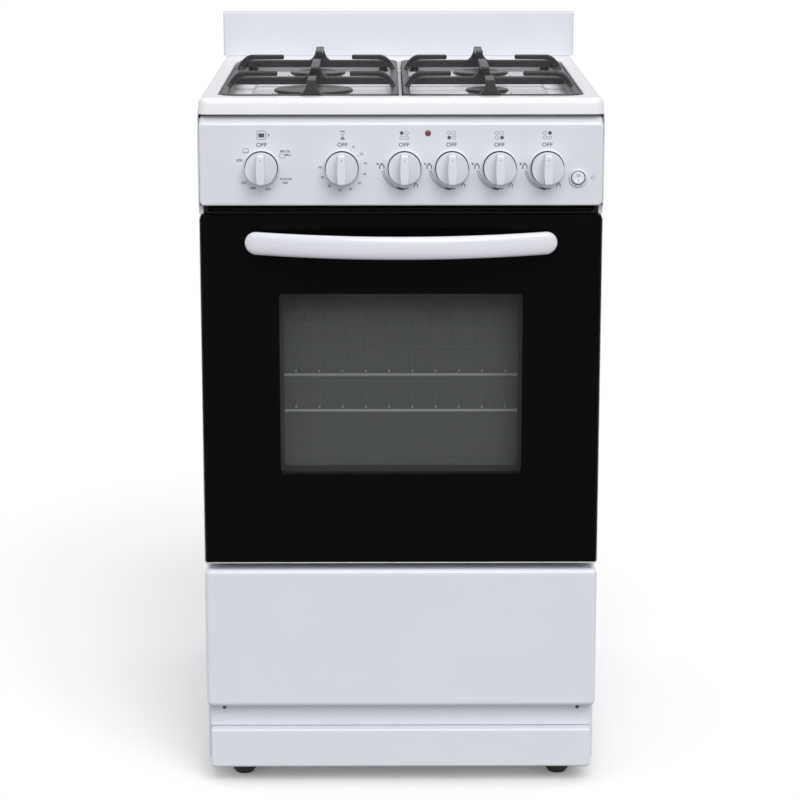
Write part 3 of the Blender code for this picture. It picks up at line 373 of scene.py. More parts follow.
def merged(*shapes):
    """One bmesh that holds all the given shells."""
    whole = bmesh.new()
    for shape in shapes:
        mesh = bpy.data.meshes.new("shell")
        shape.to_mesh(mesh)
        shape.free()
        whole.from_mesh(mesh)
        bpy.data.meshes.remove(mesh)
    return whole


def paint(shape, index):
    """Give every face of a shape one material slot."""
    for face in shape.faces:
        face.material_index = index
    return shape


def as_object(name, shape, materials=()):
    """A linked object made from a shape, which is used up."""
    mesh = bpy.data.meshes.new(name)
    shape.to_mesh(mesh)
    shape.free()
    for material in materials:
        mesh.materials.append(material)
    item = bpy.data.objects.new(name, mesh)
    bpy.context.scene.collection.objects.link(item)
    return item


def applied(item):
    """Bake an object's modifiers into its mesh."""
    bpy.context.view_layer.update()
    graph = bpy.context.evaluated_depsgraph_get()
    mesh = bpy.data.meshes.new_from_object(item.evaluated_get(graph), preserve_all_data_layers=True,
                                           depsgraph=graph)
    old = item.data
    item.modifiers.clear()
    item.data = mesh
    bpy.data.meshes.remove(old)
    mesh.name = item.name
    return item


def add_modifier(item, kind, **settings):
    """Add one modifier with its settings."""
    modifier = item.modifiers.new(kind.title(), kind)
    for key, value in settings.items():
        setattr(modifier, key, value)
    return modifier


def cut(shape, *tools):
    """The shape less each tool."""
    body = as_object("cut_body", shape)
    for tool in tools:
        cutter = as_object("cut_tool", tool)
        add_modifier(body, "BOOLEAN", operation="DIFFERENCE", solver="EXACT", object=cutter)
        applied(body)
        bpy.data.objects.remove(cutter)
    result = bmesh.new()
    result.from_mesh(body.data)
    bpy.data.objects.remove(body)
    return result


def make(name, shape, materials, body, stands_for=(), bevel=0.0, segments=2, angle=30.0,
         sharp=38.0):
    """Turn a shape into a finished piece that rides on a body."""
    if not isinstance(materials, (list, tuple)):
        materials = [materials]
    item = as_object(name, shape, materials)
    if bevel:
        add_modifier(item, "BEVEL", width=bevel, segments=segments, limit_method="ANGLE",
                     angle_limit=math.radians(angle), use_clamp_overlap=True, miter_outer="MITER_ARC")
        applied(item)
    item.data.shade_smooth()
    item.data.set_sharp_from_angle(angle=math.radians(sharp))
    add_modifier(item, "WEIGHTED_NORMAL", keep_sharp=True, weight=50)
    applied(item)
    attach(item, body)
    if stands_for:
        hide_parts(*stands_for)
    return item


def refined(node, material, bevel=0.0005, segments=2):
    """The frame's own shape for a node, with its sharp edges eased."""
    shape = bmesh.new()
    shape.from_mesh(NODES[node].data)
    bmesh.ops.remove_doubles(shape, verts=shape.verts, dist=0.00001)
    bmesh.ops.dissolve_limit(shape, angle_limit=math.radians(0.5), verts=shape.verts, edges=shape.edges)
    return make(node + "_eased", shape, material, NODES[node]["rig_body"], (node,), bevel, segments)


# ---------------------------------------------------------------- camera, floor and light
def set_stage():
    """Camera, sky, pale floor and two soft lamps."""
    scene = bpy.context.scene
    scene.view_settings.view_transform = "Standard"
    scene.view_settings.look = "None"
    scene.view_settings.exposure = 0.0
    lens = bpy.data.cameras.new("camera")
    lens.lens = CAMERA_LENS
    lens.sensor_width = 36.0
    camera = bpy.data.objects.new("camera", lens)
    camera.location = CAMERA_PLACE
    camera.rotation_euler = (math.radians(90 - CAMERA_TILT), 0.0, math.radians(-CAMERA_PAN))
    scene.collection.objects.link(camera)
    scene.camera = camera
    world = bpy.data.worlds.new("studio")
    world.use_nodes = True
    tree = world.node_tree
    height = tree.nodes.new("ShaderNodeSeparateXYZ")
    tone = tree.nodes.new("ShaderNodeValToRGB")
    tone.color_ramp.interpolation = "EASE"
    for stop, (position, colour) in zip(tone.color_ramp.elements, (SKY_LOW, SKY_HIGH)):
        stop.position = position
        stop.color = colour
    half = tree.nodes.new("ShaderNodeMapRange")
    half.inputs["From Min"].default_value = -1.0
    tree.links.new(tree.nodes.new("ShaderNodeTexCoord").outputs["Generated"], height.inputs["Vector"])
    tree.links.new(height.outputs["Z"], half.inputs["Value"])
    tree.links.new(half.outputs["Result"], tone.inputs["Fac"])
    tree.links.new(tone.outputs["Color"], tree.nodes["Background"].inputs["Color"])
    scene.world = world
    floor_shape = bmesh.new()
    bmesh.ops.create_grid(floor_shape, x_segments=2, y_segments=2, size=FLOOR_HALF)
    pale = finish("floor_pale", (0.95, 0.95, 0.95), 0.9, tone=0.004, tone_scale=0.6, bump=0.0, specular=0.1)
    glow = pale.node_tree.nodes["Principled BSDF"].inputs
    glow["Emission Color"].default_value = (1.0, 1.0, 1.0, 1.0)
    glow["Emission Strength"].default_value = FLOOR_GLOW
    floor = as_object("floor", floor_shape, [pale])
    floor.visible_diffuse = False
    for name, azimuth, elevation, spread, strength in LAMPS:
        lamp = bpy.data.lights.new(name, "SUN")
        lamp.angle = math.radians(spread)
        lamp.energy = strength
        item = bpy.data.objects.new(name, lamp)
        a, e = math.radians(azimuth), math.radians(elevation)
        away = Vector((math.sin(a) * math.cos(e), -math.cos(a) * math.cos(e), math.sin(e)))
        item.rotation_euler = (-away).to_track_quat("-Z", "Y").to_euler()
        item.location = away * 4
        scene.collection.objects.link(item)


# ---------------------------------------------------------------- body panels
def body_panels():
    """Sheet panels, and the hidden pieces with their edges eased."""
    for side in ("left", "right"):
        refined("side_panel_" + side, ENAMEL, 0.0004)
        refined("drawer_runner_" + side, ZINC, 0.0003)
        refined("rack_support_" + side, CHROME, 0.0004)
        refined("door_hinge_" + side, STEEL, 0.0004)
    for node, material, slot, bevel in (
            ("back_panel", ZINC, "zinc_steel", 0.0003), ("base_pan", ZINC, "zinc_steel", 0.0003),
            ("drawer_box", ZINC, "zinc_steel", 0.0003), ("oven_insulation", WOOL, "insulation", 0.003),
            ("oven_floor_plate", OVEN, "oven_enamel", 0.0004), ("oven_burner", STEEL, "zinc_steel", 0.0002),
            ("broil_burner", STEEL, "zinc_steel", 0.0003), ("gas_manifold", BRASS, "brass", 0.0003)):
        refined(node, material, bevel)
    low, high = KICK_LOW, KICK_HIGH
    make("kick_panel_skin", tray(low.x, high.x, low.z, high.z, 0.004, low.y, high.y, 0.003, "Y"), ENAMEL,
         "root",
         ("kick_panel",))
    low, high = RAIL_LOW, RAIL_HIGH
    make("drawer_rail_skin", tray(low.x, high.x, low.z, high.z, 0.003, low.y, high.y, 0.0015, "Y"), ENAMEL,
         "root", ("drawer_rail",))
    low, high = DRAWER_LOW, DRAWER_HIGH
    make("drawer_front_skin", tray(low.x, high.x, low.z, high.z, 0.007, low.y, high.y, 0.006, "Y"), ENAMEL,
         "drawer", ("drawer_front",))
    low, high = SPLASH_LOW, SPLASH_HIGH
    make("splashback_skin", tray(low.x, high.x, low.y, high.y, 0.003, high.z, low.z, 0.0018, "Z"), ENAMEL,
         "root", ("splashback",))


def vent():
    """Black louvre: a frame with one blade across a deep slot, between the pale ends of the side panels."""
    low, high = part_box("vent_trim")
    shells = [prism([(low.y, z0), (high.y, z0), (high.y, z0 + 0.0010), (low.y, z0 + 0.0010)], low.x, high.x,
                    "X")
              for z0 in (low.z, high.z - 0.0010)]
    blade = (high.z - low.z) * 0.45
    shells.append(prism([(low.y + 0.004, low.z + blade), (low.y + 0.014, low.z + blade + 0.0024),
                         (low.y + 0.014, low.z + blade + 0.0034), (low.y + 0.004, low.z + blade + 0.0010)],
                        low.x, high.x, "X"))
    shells.append(block(low.x, high.x, low.y + 0.020, low.y + 0.0212, low.z, high.z))
    for x in (low.x, high.x - 0.004):
        shells.append(block(x, x + 0.004, low.y, low.y + 0.0205, low.z, high.z))
    make("vent_louvre", merged(*shells), DEEP_BLACK_AND_SHADE, "root", ("vent_trim",), bevel=0.0002)
    cheeks = []
    for side in (-1, 1):
        x0, x1 = sorted((side * (HALF - 0.0003), side * (HALF - 0.0060)))
        cheeks.append(block(x0, x1, FRONT + 0.012, MOUTH - 0.0004, low.z - 0.0008, high.z))
        x0, x1 = sorted((side * HALF, side * (HALF - 0.0018)))
        cheeks.append(block(x0, x1, FRONT + 0.0030, MOUTH - 0.0004, high.z, Z_HOB - 0.0006))
    make("side_cheeks", merged(*cheeks), ENAMEL, "root", bevel=0.0004)


def door_shell():
    """Door frame: white flanks, with painted shade as a near-black top edge and a near-black tunnel behind
    the window.
    """
    shape = bmesh.new()
    shape.from_mesh(NODES["door_frame"].data)
    bmesh.ops.remove_doubles(shape, verts=shape.verts, dist=0.00001)
    shape.normal_update()
    top_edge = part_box("door_frame")[1].z - 0.006
    # painted shade: faces in the tunnel behind the window and on the door's top take the near-black finish,
    # standing for the shade in the recess and in the gap under the panel
    for face in shape.faces:
        centre = face.calc_center_median()
        beside = abs(centre.x) < INNER_HIGH.x + 0.002
        level = INNER_LOW.z - 0.002 < centre.z < INNER_HIGH.z + 0.002
        tunnel = beside and level and abs(face.normal.y) < 0.5
        top = face.normal.z > 0.5 and centre.z > top_edge
        face.material_index = 1 if tunnel or top else 0
    make("door_shell", shape, [ENAMEL, DEEP_BLACK_AND_SHADE], "door", ("door_frame",), bevel=0.0006)


def screw_head(x, y, z, radius, axis, outward, steps=20):
    """Pan head with a cross recess."""
    dome = [(0.0, -0.0002), (radius, -0.0002), (radius, 0.0006), (radius * 0.9, 0.0014),
            (radius * 0.55, 0.0019),
            (0.0, 0.0020)]
    centre = {"Y": (x, z), "X": (y, z), "Z": (x, y)}[axis]
    start = {"Y": y, "X": x, "Z": z}[axis]
    head = turned([(r, start + outward * w) for r, w in dome], centre, axis, steps)
    place = PLANES[axis]
    for angle in (0.5, 0.5 + math.pi / 2):
        du, dv = math.cos(angle) * radius * 0.6, math.sin(angle) * radius * 0.6
        nu, nv = -dv * 0.24, du * 0.24
        w0, w1 = start + outward * 0.0010, start + outward * 0.0026
        ring = [(du + nu, dv + nv), (-du + nu, -dv + nv), (-du - nu, -dv - nv), (du - nu, dv - nv)]
        groove = skin([[place(centre[0] + u, centre[1] + v, w) for u, v in ring] for w in (w0, w1)])
        head = cut(head, groove)
    return head


def screws():
    """Screw heads on the rail and back, and the thread of the gas inlet."""
    rail_face = RAIL_LOW.y
    heads = [screw_head(side * 0.228, rail_face, RAIL_HIGH.z - 0.006, 0.0024, "Y", -1) for side in (-1, 1)]
    make("rail_screws", merged(*heads), DARK_STEEL, "root")
    back_low, back_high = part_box("back_panel")
    rear = back_high.y
    heads = []
    for x in (-HALF + 0.022, 0.0, HALF - 0.022):
        for z in (back_low.z + 0.030, back_high.z - 0.020):
            heads.append(screw_head(x, rear, z, 0.0036, "Y", 1))
    for x in (-HALF + 0.022, HALF - 0.022):
        for k in range(1, 4):
            heads.append(screw_head(x, rear, back_low.z + (back_high.z - back_low.z) * k / 4, 0.0036, "Y",
                                    1))
    make("back_screws", merged(*heads), STEEL, "root")
    pipe_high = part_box("gas_manifold")[1]
    radius = 0.0077
    centre = (HALF - 0.035, middle("gas_manifold").z)
    profile = [(radius * 0.75, pipe_high.y + 0.002), (radius * 1.00, pipe_high.y + 0.002)]
    for k in range(9):
        y = pipe_high.y + 0.001 - k * 0.0018
        profile += [(radius * 1.22, y), (radius * 1.06, y - 0.0009)]
    profile += [(radius * 1.0, pipe_high.y - 0.020), (radius * 0.75, pipe_high.y - 0.020)]
    make("inlet_thread", turned(profile, centre, "Y", 32, closed=True), BRASS, "root",
         sharp=60)


def feet():
    """Ribbed levelling feet with a stud."""
    for name in ("foot_front_left", "foot_front_right", "foot_rear_left", "foot_rear_right"):
        low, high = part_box(name)
        centre = (low + high) / 2
        radius = (high.x - low.x) / 2
        top = 0.0227
        rows = [(radius * 0.66, 0.0, 0), (radius * 0.73, 0.0010, 0), (radius * 0.75, 0.0030, 0),
                (radius * 0.86, 0.0042, 1), (radius * 0.97, top - 0.0060, 1),
                (radius * 0.97, top - 0.0012, 1),
                (radius * 0.93, top, 0), (0.0042, top, 0), (0.0036, top + 0.001, 0),
                (0.0036, high.z - 0.001, 0),
                (0.0030, high.z, 0)]
        loops = []
        count = 72
        for r, z, ribbed in rows:
            ring = []
            for k in range(count):
                angle = 2 * math.pi * k / count
                reach = r * (1 + (0.022 if k % 3 == 0 else -0.012) * ribbed)
                ring.append((centre.x + reach * math.cos(angle), centre.y + reach * math.sin(angle), z))
            loops.append(ring)
        make(name + "_ribbed", skin(loops), BLACK_PLASTIC, name, (name,), sharp=50)


# ---------------------------------------------------------------- control panel and its controls
def control_panel():
    """Pressed panel with a sloping top edge and round holes."""
    low = PANEL_LOW + Vector((PANEL_MARGIN, 0.0, 0.0))
    high = PANEL_HIGH - Vector((PANEL_MARGIN, 0.0, 0.0))
    bevel = 0.011
    roll = 0.0025
    rows = []

    def row(inset, top, y):
        return (low.x + inset, high.x - inset, low.z + inset, high.z - top, 0.006 - inset, y)

    rows.append(row(roll + 0.002, bevel + 0.002, low.y))
    for k in range(5):
        angle = math.pi / 2 * k / 4
        inset = roll * (1 - math.sin(angle))
        rows.append(row(inset, bevel - (bevel * 0.35) * (k / 4) ** 1.6,
                        low.y + roll * (1 - math.cos(angle))))
    rows += [row(0.0, bevel * 0.25, low.y + bevel * 0.62), row(0.0, bevel * 0.06, low.y + bevel * 0.90),
             row(0.0, 0.0, low.y + bevel * 1.15), row(0.0, 0.0, high.y), row(SHEET, SHEET, high.y),
             row(SHEET, SHEET, low.y + bevel * 1.15 + SHEET),
             row(roll + SHEET, bevel + SHEET / 2, low.y + SHEET)]
    tools = []
    for name in KNOB_NAMES:
        centre = middle("spindle_" + name)
        tools.append(turned([(0.0, low.y - 0.01), (0.006, low.y - 0.01), (0.006, low.y + 0.01),
                             (0.0, low.y + 0.01)],
                            (centre.x, centre.z), "Y", 32))
    for node, radius in (("indicator_lamp", 0.0037), ("rocker_bezel", 0.0102)):
        centre = middle(node)
        tools.append(turned([(0.0, low.y - 0.01), (radius, low.y - 0.01), (radius, low.y + 0.01),
                             (0.0, low.y + 0.01)],
                            (centre.x, centre.z), "Y", 32))
    make("control_panel_skin", cut(pressed(rows, "Y"), merged(*tools)), ENAMEL, "root", ("control_panel",),
         sharp=50)


def knob_shape(x, z, rear, front, radius):
    """Knob with a barrel-shaped grip bar between two scooped sides."""
    depth = rear - front
    profile = [(0.0, front), (radius - 0.0042, front), (radius - 0.0026, front + 0.0004),
               (radius - 0.0014, front + 0.0014),
               (radius - 0.0009, front + 0.0030), (radius - 0.0003, rear - 0.0012),
               (radius - 0.0006, rear - 0.0003),
               (radius - 0.0012, rear), (0.0033, rear), (0.0033, rear - 0.0143), (0.0, rear - 0.0143)]
    body = turned(profile, (x, z), "Y", 72)
    for side in (-1, 1):
        points = []
        for k in range(17):
            t = k / 8 - 1
            points.append((x + side * (0.0038 + 0.0015 * math.cos(t * math.pi / 2)), z + t * radius * 1.02))
        points += [(x + side * radius * 1.3, z + radius * 1.02),
                   (x + side * radius * 1.3, z - radius * 1.02)]
        loops = []
        for w, grow, slope in ((front - 0.004, 0.0, 0.0), (front + depth * 0.40, 0.0, 0.0),
                               (front + depth * 0.62, 0.0010, -0.30)):
            loops.append([(u + side * grow if k < 17 else u, w if k < 17 else w + slope * depth, v)
                          for k, (u, v) in enumerate(points)])
        tool = skin(loops)
        body = cut(body, tool)
    return body


def knobs():
    """Six knobs, each in its raised collar over a dark ring of painted shade."""
    for name in KNOB_NAMES:
        node = "knob_" + name
        low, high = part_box(node)
        centre = (low + high) / 2
        x, z = centre.x, centre.z
        radius = (high.x - low.x) / 2
        body = paint(knob_shape(x, z, high.y, low.y, radius), 0)
        pointer = turned([(0.0, low.y - 0.00005), (0.0007, low.y - 0.00005), (0.0008, low.y + 0.0004),
                          (0.0, low.y + 0.0004)],
                         (x, z + radius * 0.62), "Y", 16)
        make(node + "_moulded", merged(body, paint(pointer, 1)), [PLASTIC, INK_LIGHT], node, (node,),
             bevel=0.0006, segments=3, angle=35, sharp=45)
        face = FRONT
        rim = [(radius + 0.0005, face + 0.0002), (radius + 0.0005, face - 0.0016),
               (radius + 0.0009, face - 0.0021),
               (radius + 0.0016, face - 0.0020), (radius + 0.0026, face - 0.0010),
               (radius + 0.0034, face + 0.0002)]
        make("collar_" + name, turned(rim, (x, z), "Y", 72, closed=True), ENAMEL, "root",
             sharp=60)
        # painted shade: a dark ring behind each knob's edge stands for the shade in the gap between knob and
        # collar
        shade_ring = [(radius - 0.0040, face + 0.0002), (radius - 0.0040, face - 0.0003),
                (radius + 0.0004, face - 0.0003),
                (radius + 0.0004, face + 0.0002)]
        make("painted_shade_ring_" + name, turned(shade_ring, (x, z), "Y", 72, closed=True), SHADOW_GAP, "root")
        refined("spindle_" + name, STEEL, 0.0002)


def switch_and_lamp():
    """Domed red lens, and a rocker button in a round ring."""
    centre = middle("indicator_lamp")
    low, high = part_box("indicator_lamp")
    radius = (high.x - low.x) / 2
    profile = [(0.0, low.y)] + [(radius * math.sin(a), FRONT - (FRONT - low.y) * math.cos(a))
                                for a in [math.pi / 2 * k / 6 for k in range(1, 7)]]
    profile += [(radius, high.y), (0.0, high.y)]
    make("lamp_lens", turned(profile, (centre.x, centre.z), "Y", 32), RED_LENS, "root", ("indicator_lamp",),
         sharp=50)
    low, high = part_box("rocker_bezel")
    centre = (low + high) / 2
    outer = (high.x - low.x) / 2
    inner = 0.0090
    profile = [(inner, FRONT + 0.006), (inner, low.y + 0.0006), (inner + 0.0004, low.y),
               (outer - 0.0016, low.y),
               (outer - 0.0005, low.y + 0.0006), (outer, low.y + 0.0016), (outer, FRONT - 0.0002),
               (inner + 0.0011, FRONT - 0.0002), (inner + 0.0011, FRONT + 0.006)]
    make("rocker_ring", turned(profile, (centre.x, centre.z), "Y", 56, closed=True), PLASTIC, "root",
         ("rocker_bezel",), sharp=45)
    low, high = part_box("rocker_switch")
    tilt = math.radians(-8)
    radius = 0.0083
    profile = [(0.0, -0.0036), (0.0030, -0.0037), (0.0058, -0.0041), (0.0066, -0.0042), (0.0070, -0.0040)]
    profile += [(radius * math.cos(a),
                 radius * math.sin(a)) for a in [math.radians(-24 + 8 * k) for k in range(8)]]
    profile.append((0.0, profile[-1][1]))
    body = paint(turned(profile, (0.0, 0.0), "Y", 48), 0)
    ring = paint(turned([(0.0013, -0.0039), (0.0013, -0.0034), (0.0019, -0.0034), (0.0019, -0.0039)],
                        (0.0, 0.0034),
                        "Y", 32, closed=True), 1)
    bar = paint(block(-0.0003, 0.0003, -0.0041, -0.0034, -0.0048, -0.0022), 1)
    whole = merged(body, ring, bar)
    pivot = Vector((centre.x, FRONT + 0.0005, centre.z))
    bmesh.ops.transform(whole, matrix=Matrix.Translation(pivot) @ Matrix.Rotation(tilt, 4, "X"),
                        verts=whole.verts)
    make("rocker_button", whole, [PLASTIC, INK], "rocker", ("rocker_switch",), sharp=40)


# ---------------------------------------------------------------- printed marks
MARK_FACE = FRONT - 0.00006
MARK_BACK = FRONT + 0.00012


def mark_area(points):
    """A flat printed patch."""
    return prism(points, MARK_FACE, MARK_BACK, "Y")


def mark_disc(x, z, radius, steps=24):
    """A filled dot."""
    return mark_area([(x + radius * math.cos(2 * math.pi * k / steps),
                       z + radius * math.sin(2 * math.pi * k / steps))
                      for k in range(steps)])


def mark_ring(x, z, radius, width, steps=28):
    """A circle drawn as a line."""
    return turned([(radius - width / 2, MARK_FACE), (radius + width / 2, MARK_FACE),
                   (radius + width / 2, MARK_BACK),
                   (radius - width / 2, MARK_BACK)], (x, z), "Y", steps, closed=True)


def mark_line(points, widths, closed=False):
    """A ribbon along points; widths is one width or one for each point."""
    count = len(points)
    if not isinstance(widths, (list, tuple)):
        widths = [widths] * count
    left, right = [], []
    for k, (x, z) in enumerate(points):
        if closed:
            (ax, az), (bx, bz) = points[k - 1], points[(k + 1) % count]
        else:
            (ax, az), (bx, bz) = points[max(k - 1, 0)], points[min(k + 1, count - 1)]
        dx, dz = bx - ax, bz - az
        length = math.hypot(dx, dz)
        nx, nz = -dz / length * widths[k] / 2, dx / length * widths[k] / 2
        left.append((x + nx, z + nz))
        right.append((x - nx, z - nz))
    if not closed:
        return mark_area(left + right[::-1])
    loops = [[(u, w, v) for u, v in side] for side, w in
             ((left, MARK_FACE), (right, MARK_FACE), (right, MARK_BACK), (left, MARK_BACK))]
    return skin(loops, closed=True)


def mark_frame(x, z, width, height, radius, line):
    """A rounded square drawn as a line."""
    return mark_line(outline(x - width / 2, x + width / 2, z - height / 2, z + height / 2, radius, 4), line,
                     True)


def mark_text(text, x, z, height, width=None):
    """Plain lettering whose size is set by its box."""
    data = bpy.data.curves.new("lettering", "FONT")
    data.body = text
    data.align_x = "CENTER"
    data.align_y = "CENTER"
    data.resolution_u = 4
    data.offset = 0.014
    item = bpy.data.objects.new("lettering", data)
    bpy.context.scene.collection.objects.link(item)
    bpy.context.view_layer.update()
    mesh = bpy.data.meshes.new_from_object(item.evaluated_get(bpy.context.evaluated_depsgraph_get()))
    bpy.data.objects.remove(item)
    flat = bmesh.new()
    flat.from_mesh(mesh)
    bpy.data.meshes.remove(mesh)
    us = [v.co.x for v in flat.verts]
    vs = [v.co.y for v in flat.verts]
    cu, cv = (min(us) + max(us)) / 2, (min(vs) + max(vs)) / 2
    tall = height / (max(vs) - min(vs))
    wide = tall if width is None else width / (max(us) - min(us))
    for vert in flat.verts:
        vert.co = (x + (vert.co.x - cu) * wide, MARK_FACE, z + (vert.co.y - cv) * tall)
    bmesh.ops.remove_doubles(flat, verts=flat.verts, dist=0.000001)
    whole = bmesh.ops.extrude_face_region(flat, geom=flat.faces[:])
    moved = [g for g in whole["geom"] if isinstance(g, bmesh.types.BMVert)]
    bmesh.ops.translate(flat, verts=moved, vec=(0.0, MARK_BACK - MARK_FACE, 0.0))
    bmesh.ops.recalc_face_normals(flat, faces=flat.faces)
    return flat


def polar(x, z, angle, radius):
    """Point at an angle in degrees, anticlockwise from the top as the viewer sees it."""
    a = math.radians(angle)
    return x - radius * math.sin(a), z + radius * math.cos(a)


def flame(x, z, height, line):
    """Open flame: a pointed arch with a small inner tongue."""
    half = height * 0.34
    path = [(x - half, z - height / 2), (x - half * 1.12, z - height * 0.10),
            (x - half * 0.75, z + height * 0.20),
            (x, z + height / 2), (x + half * 0.75, z + height * 0.20), (x + half * 1.12, z - height * 0.10),
            (x + half, z - height / 2)]
    tongue = [(x - half * 0.35, z + height * 0.05), (x, z + height * 0.30),
              (x + half * 0.35, z + height * 0.05)]
    return [mark_line(path, line), mark_area(tongue)]


def burner_marks(x, z, own):
    """Marks round a burner knob; own is the burner it serves."""
    dark, light = [], []
    dark.append(mark_text("OFF", x - 0.0005, z + 0.0283, 0.0050, 0.0128))
    for name, du, dv in (("rear_left", -1, 1), ("front_left", -1, -1), ("front_right", 1, -1),
                         ("rear_right", 1, 1)):
        place = (x - 0.0004 + du * 0.00305, z + 0.0398 + dv * 0.0029)
        if name == own:
            dark.append(mark_disc(*place, 0.0023))
        else:
            light.append(mark_ring(*place, 0.0021, 0.0006))
    dark += flame(x - 0.0278, z + 0.0021, 0.0073, 0.0012)
    dark += flame(x + 0.0139, z - 0.0213, 0.0056, 0.0010)
    dark.append(mark_disc(x - 0.0330, z + 0.0046, 0.0010))
    for k in range(6):
        sx, sz = polar(x - 0.0330, z + 0.0046, 60 * k + 20, 0.0014)
        dark.append(mark_line([(x - 0.0330, z + 0.0046), (sx, sz)], 0.0004))
    for radius, start, end in ((0.0278, 98, 178), (0.0256, 98, 170)):
        arc = [polar(x, z + 0.0003, start + (end - start) * k / 24, radius) for k in range(25)]
        dark.append(mark_line(arc, 0.0007))
    tail = [polar(x, z + 0.0003, 160 + 30 * k / 12, 0.0267 - 0.0004 * k / 12) for k in range(13)]
    dark.append(mark_line(tail, [0.0008 + 0.0020 * min(k / 4, 1) * (1 - k / 12) for k in range(13)]))
    return dark, light


def thermostat_marks(x, z):
    """Oven symbol, temperatures and broil setting."""
    dark, light = [], []
    dark.append(mark_text("OFF", x + 0.0005, z + 0.0283, 0.0050, 0.0130))
    light.append(mark_frame(x + 0.0004, z + 0.0400, 0.0105, 0.0105, 0.0016, 0.0008))
    dark.append(mark_frame(x + 0.0004, z + 0.0398, 0.0058, 0.0040, 0.0003, 0.0012))
    dark.append(mark_area([(x - 0.0022, z + 0.0384), (x + 0.0030, z + 0.0384), (x + 0.0030, z + 0.0412),
                           (x - 0.0022, z + 0.0412)]))
    dark.append(mark_ring(x + 0.0078, z + 0.0416, 0.0006, 0.0003))
    dark.append(mark_text("F", x + 0.0098, z + 0.0398, 0.0034))
    light.append(mark_frame(x - 0.0190, z + 0.0209, 0.0064, 0.0054, 0.0012, 0.0007))
    light.append(mark_line([(x - 0.0216, z + 0.0194), (x - 0.0164, z + 0.0194)], 0.0006))
    for text, dx, dz, height, width in (("300", -0.0268, 0.0093, 0.0032, 0.0068),
                                        ("350", -0.0217, -0.0183, 0.0032, 0.0068),
                                        ("400", -0.0104, -0.0250, 0.0032, 0.0070),
                                        ("450", 0.0076, -0.0264, 0.0032, 0.0068),
                                        ("500", 0.0291, -0.0185, 0.0032, 0.0066),
                                        ("PUSH", 0.0285, -0.0139, 0.0028, 0.0110),
                                        ("BROIL", 0.0298, 0.0203, 0.0030, 0.0130),
                                        ("Max", 0.0333, 0.0159, 0.0026, 0.0070)):
        dark.append(mark_text(text, x + dx, z + dz, height, width))
    dark.append(mark_area([(x + 0.0350, z - 0.0154), (x + 0.0374, z - 0.0139), (x + 0.0350, z - 0.0124)]))
    light.append(mark_frame(x + 0.0258, z + 0.0145, 0.0068, 0.0048, 0.0016, 0.0007))
    for angle in (69, 101, 135, 146, 156, 184, 197, 216, 236):
        outer = polar(x, z, angle, 0.0250)
        inner = polar(x, z, angle, 0.0240)
        dark.append(mark_line([inner, outer], 0.0005))
    return dark, light


def timer_marks(x, z):
    """Hourglass and minutes."""
    dark, light = [], []
    dark.append(mark_text("OFF", x + 0.0008, z + 0.0283, 0.0050, 0.0130))
    cx, cz = x + 0.0010, z + 0.0400
    w, h = 0.0022, 0.0044
    glass = [(cx - w, cz + h), (cx + w, cz + h), (cx + 0.0005, cz), (cx + w, cz - h), (cx - w, cz - h),
             (cx - 0.0005, cz)]
    dark.append(mark_line(glass, 0.0006, True))
    for end in (-1, 1):
        dark.append(mark_line([(cx - 0.0031, cz + end * 0.0049), (cx + 0.0031, cz + end * 0.0049)], 0.0008))
    dark.append(mark_area([(cx - w * 0.8, cz - h), (cx + w * 0.8, cz - h), (cx, cz - h * 0.45)]))
    for k, angle in enumerate((28, 54, 79, 106, 132, 159, 186, 215, 244, 271)):
        radius = 0.0293 - 0.0022 * k / 9
        px, pz = polar(x + 0.0006, z, -angle, radius)
        dark.append(mark_text(str(10 * (k + 1)), px, pz, 0.0029))
        dark.append(mark_line([polar(x, z, -angle, 0.0238), polar(x, z, -angle, 0.0248)], 0.0005))
    return dark, light


def printed_marks():
    """All printed marks, as a dark piece and a lighter one."""
    dark, light = [], []
    for name in KNOB_NAMES:
        centre = middle("spindle_" + name)
        if name == "thermostat":
            made = thermostat_marks(centre.x, centre.z)
        elif name == "timer":
            made = timer_marks(centre.x, centre.z)
        else:
            made = burner_marks(centre.x, centre.z, name)
        dark += made[0]
        light += made[1]
    switch = middle("rocker_bezel")
    light.append(mark_ring(switch.x + 0.0181, switch.z + 0.0004, 0.0019, 0.0005))
    for k in range(8):
        px, pz = switch.x + 0.0181, switch.z + 0.0004
        light.append(mark_line([polar(px, pz, 45 * k, 0.0024), polar(px, pz, 45 * k, 0.0029)], 0.0003))
    make("marks_dark", merged(*dark), INK, "root", sharp=30)
    make("marks_light", merged(*light), INK_LIGHT, "root", sharp=30)


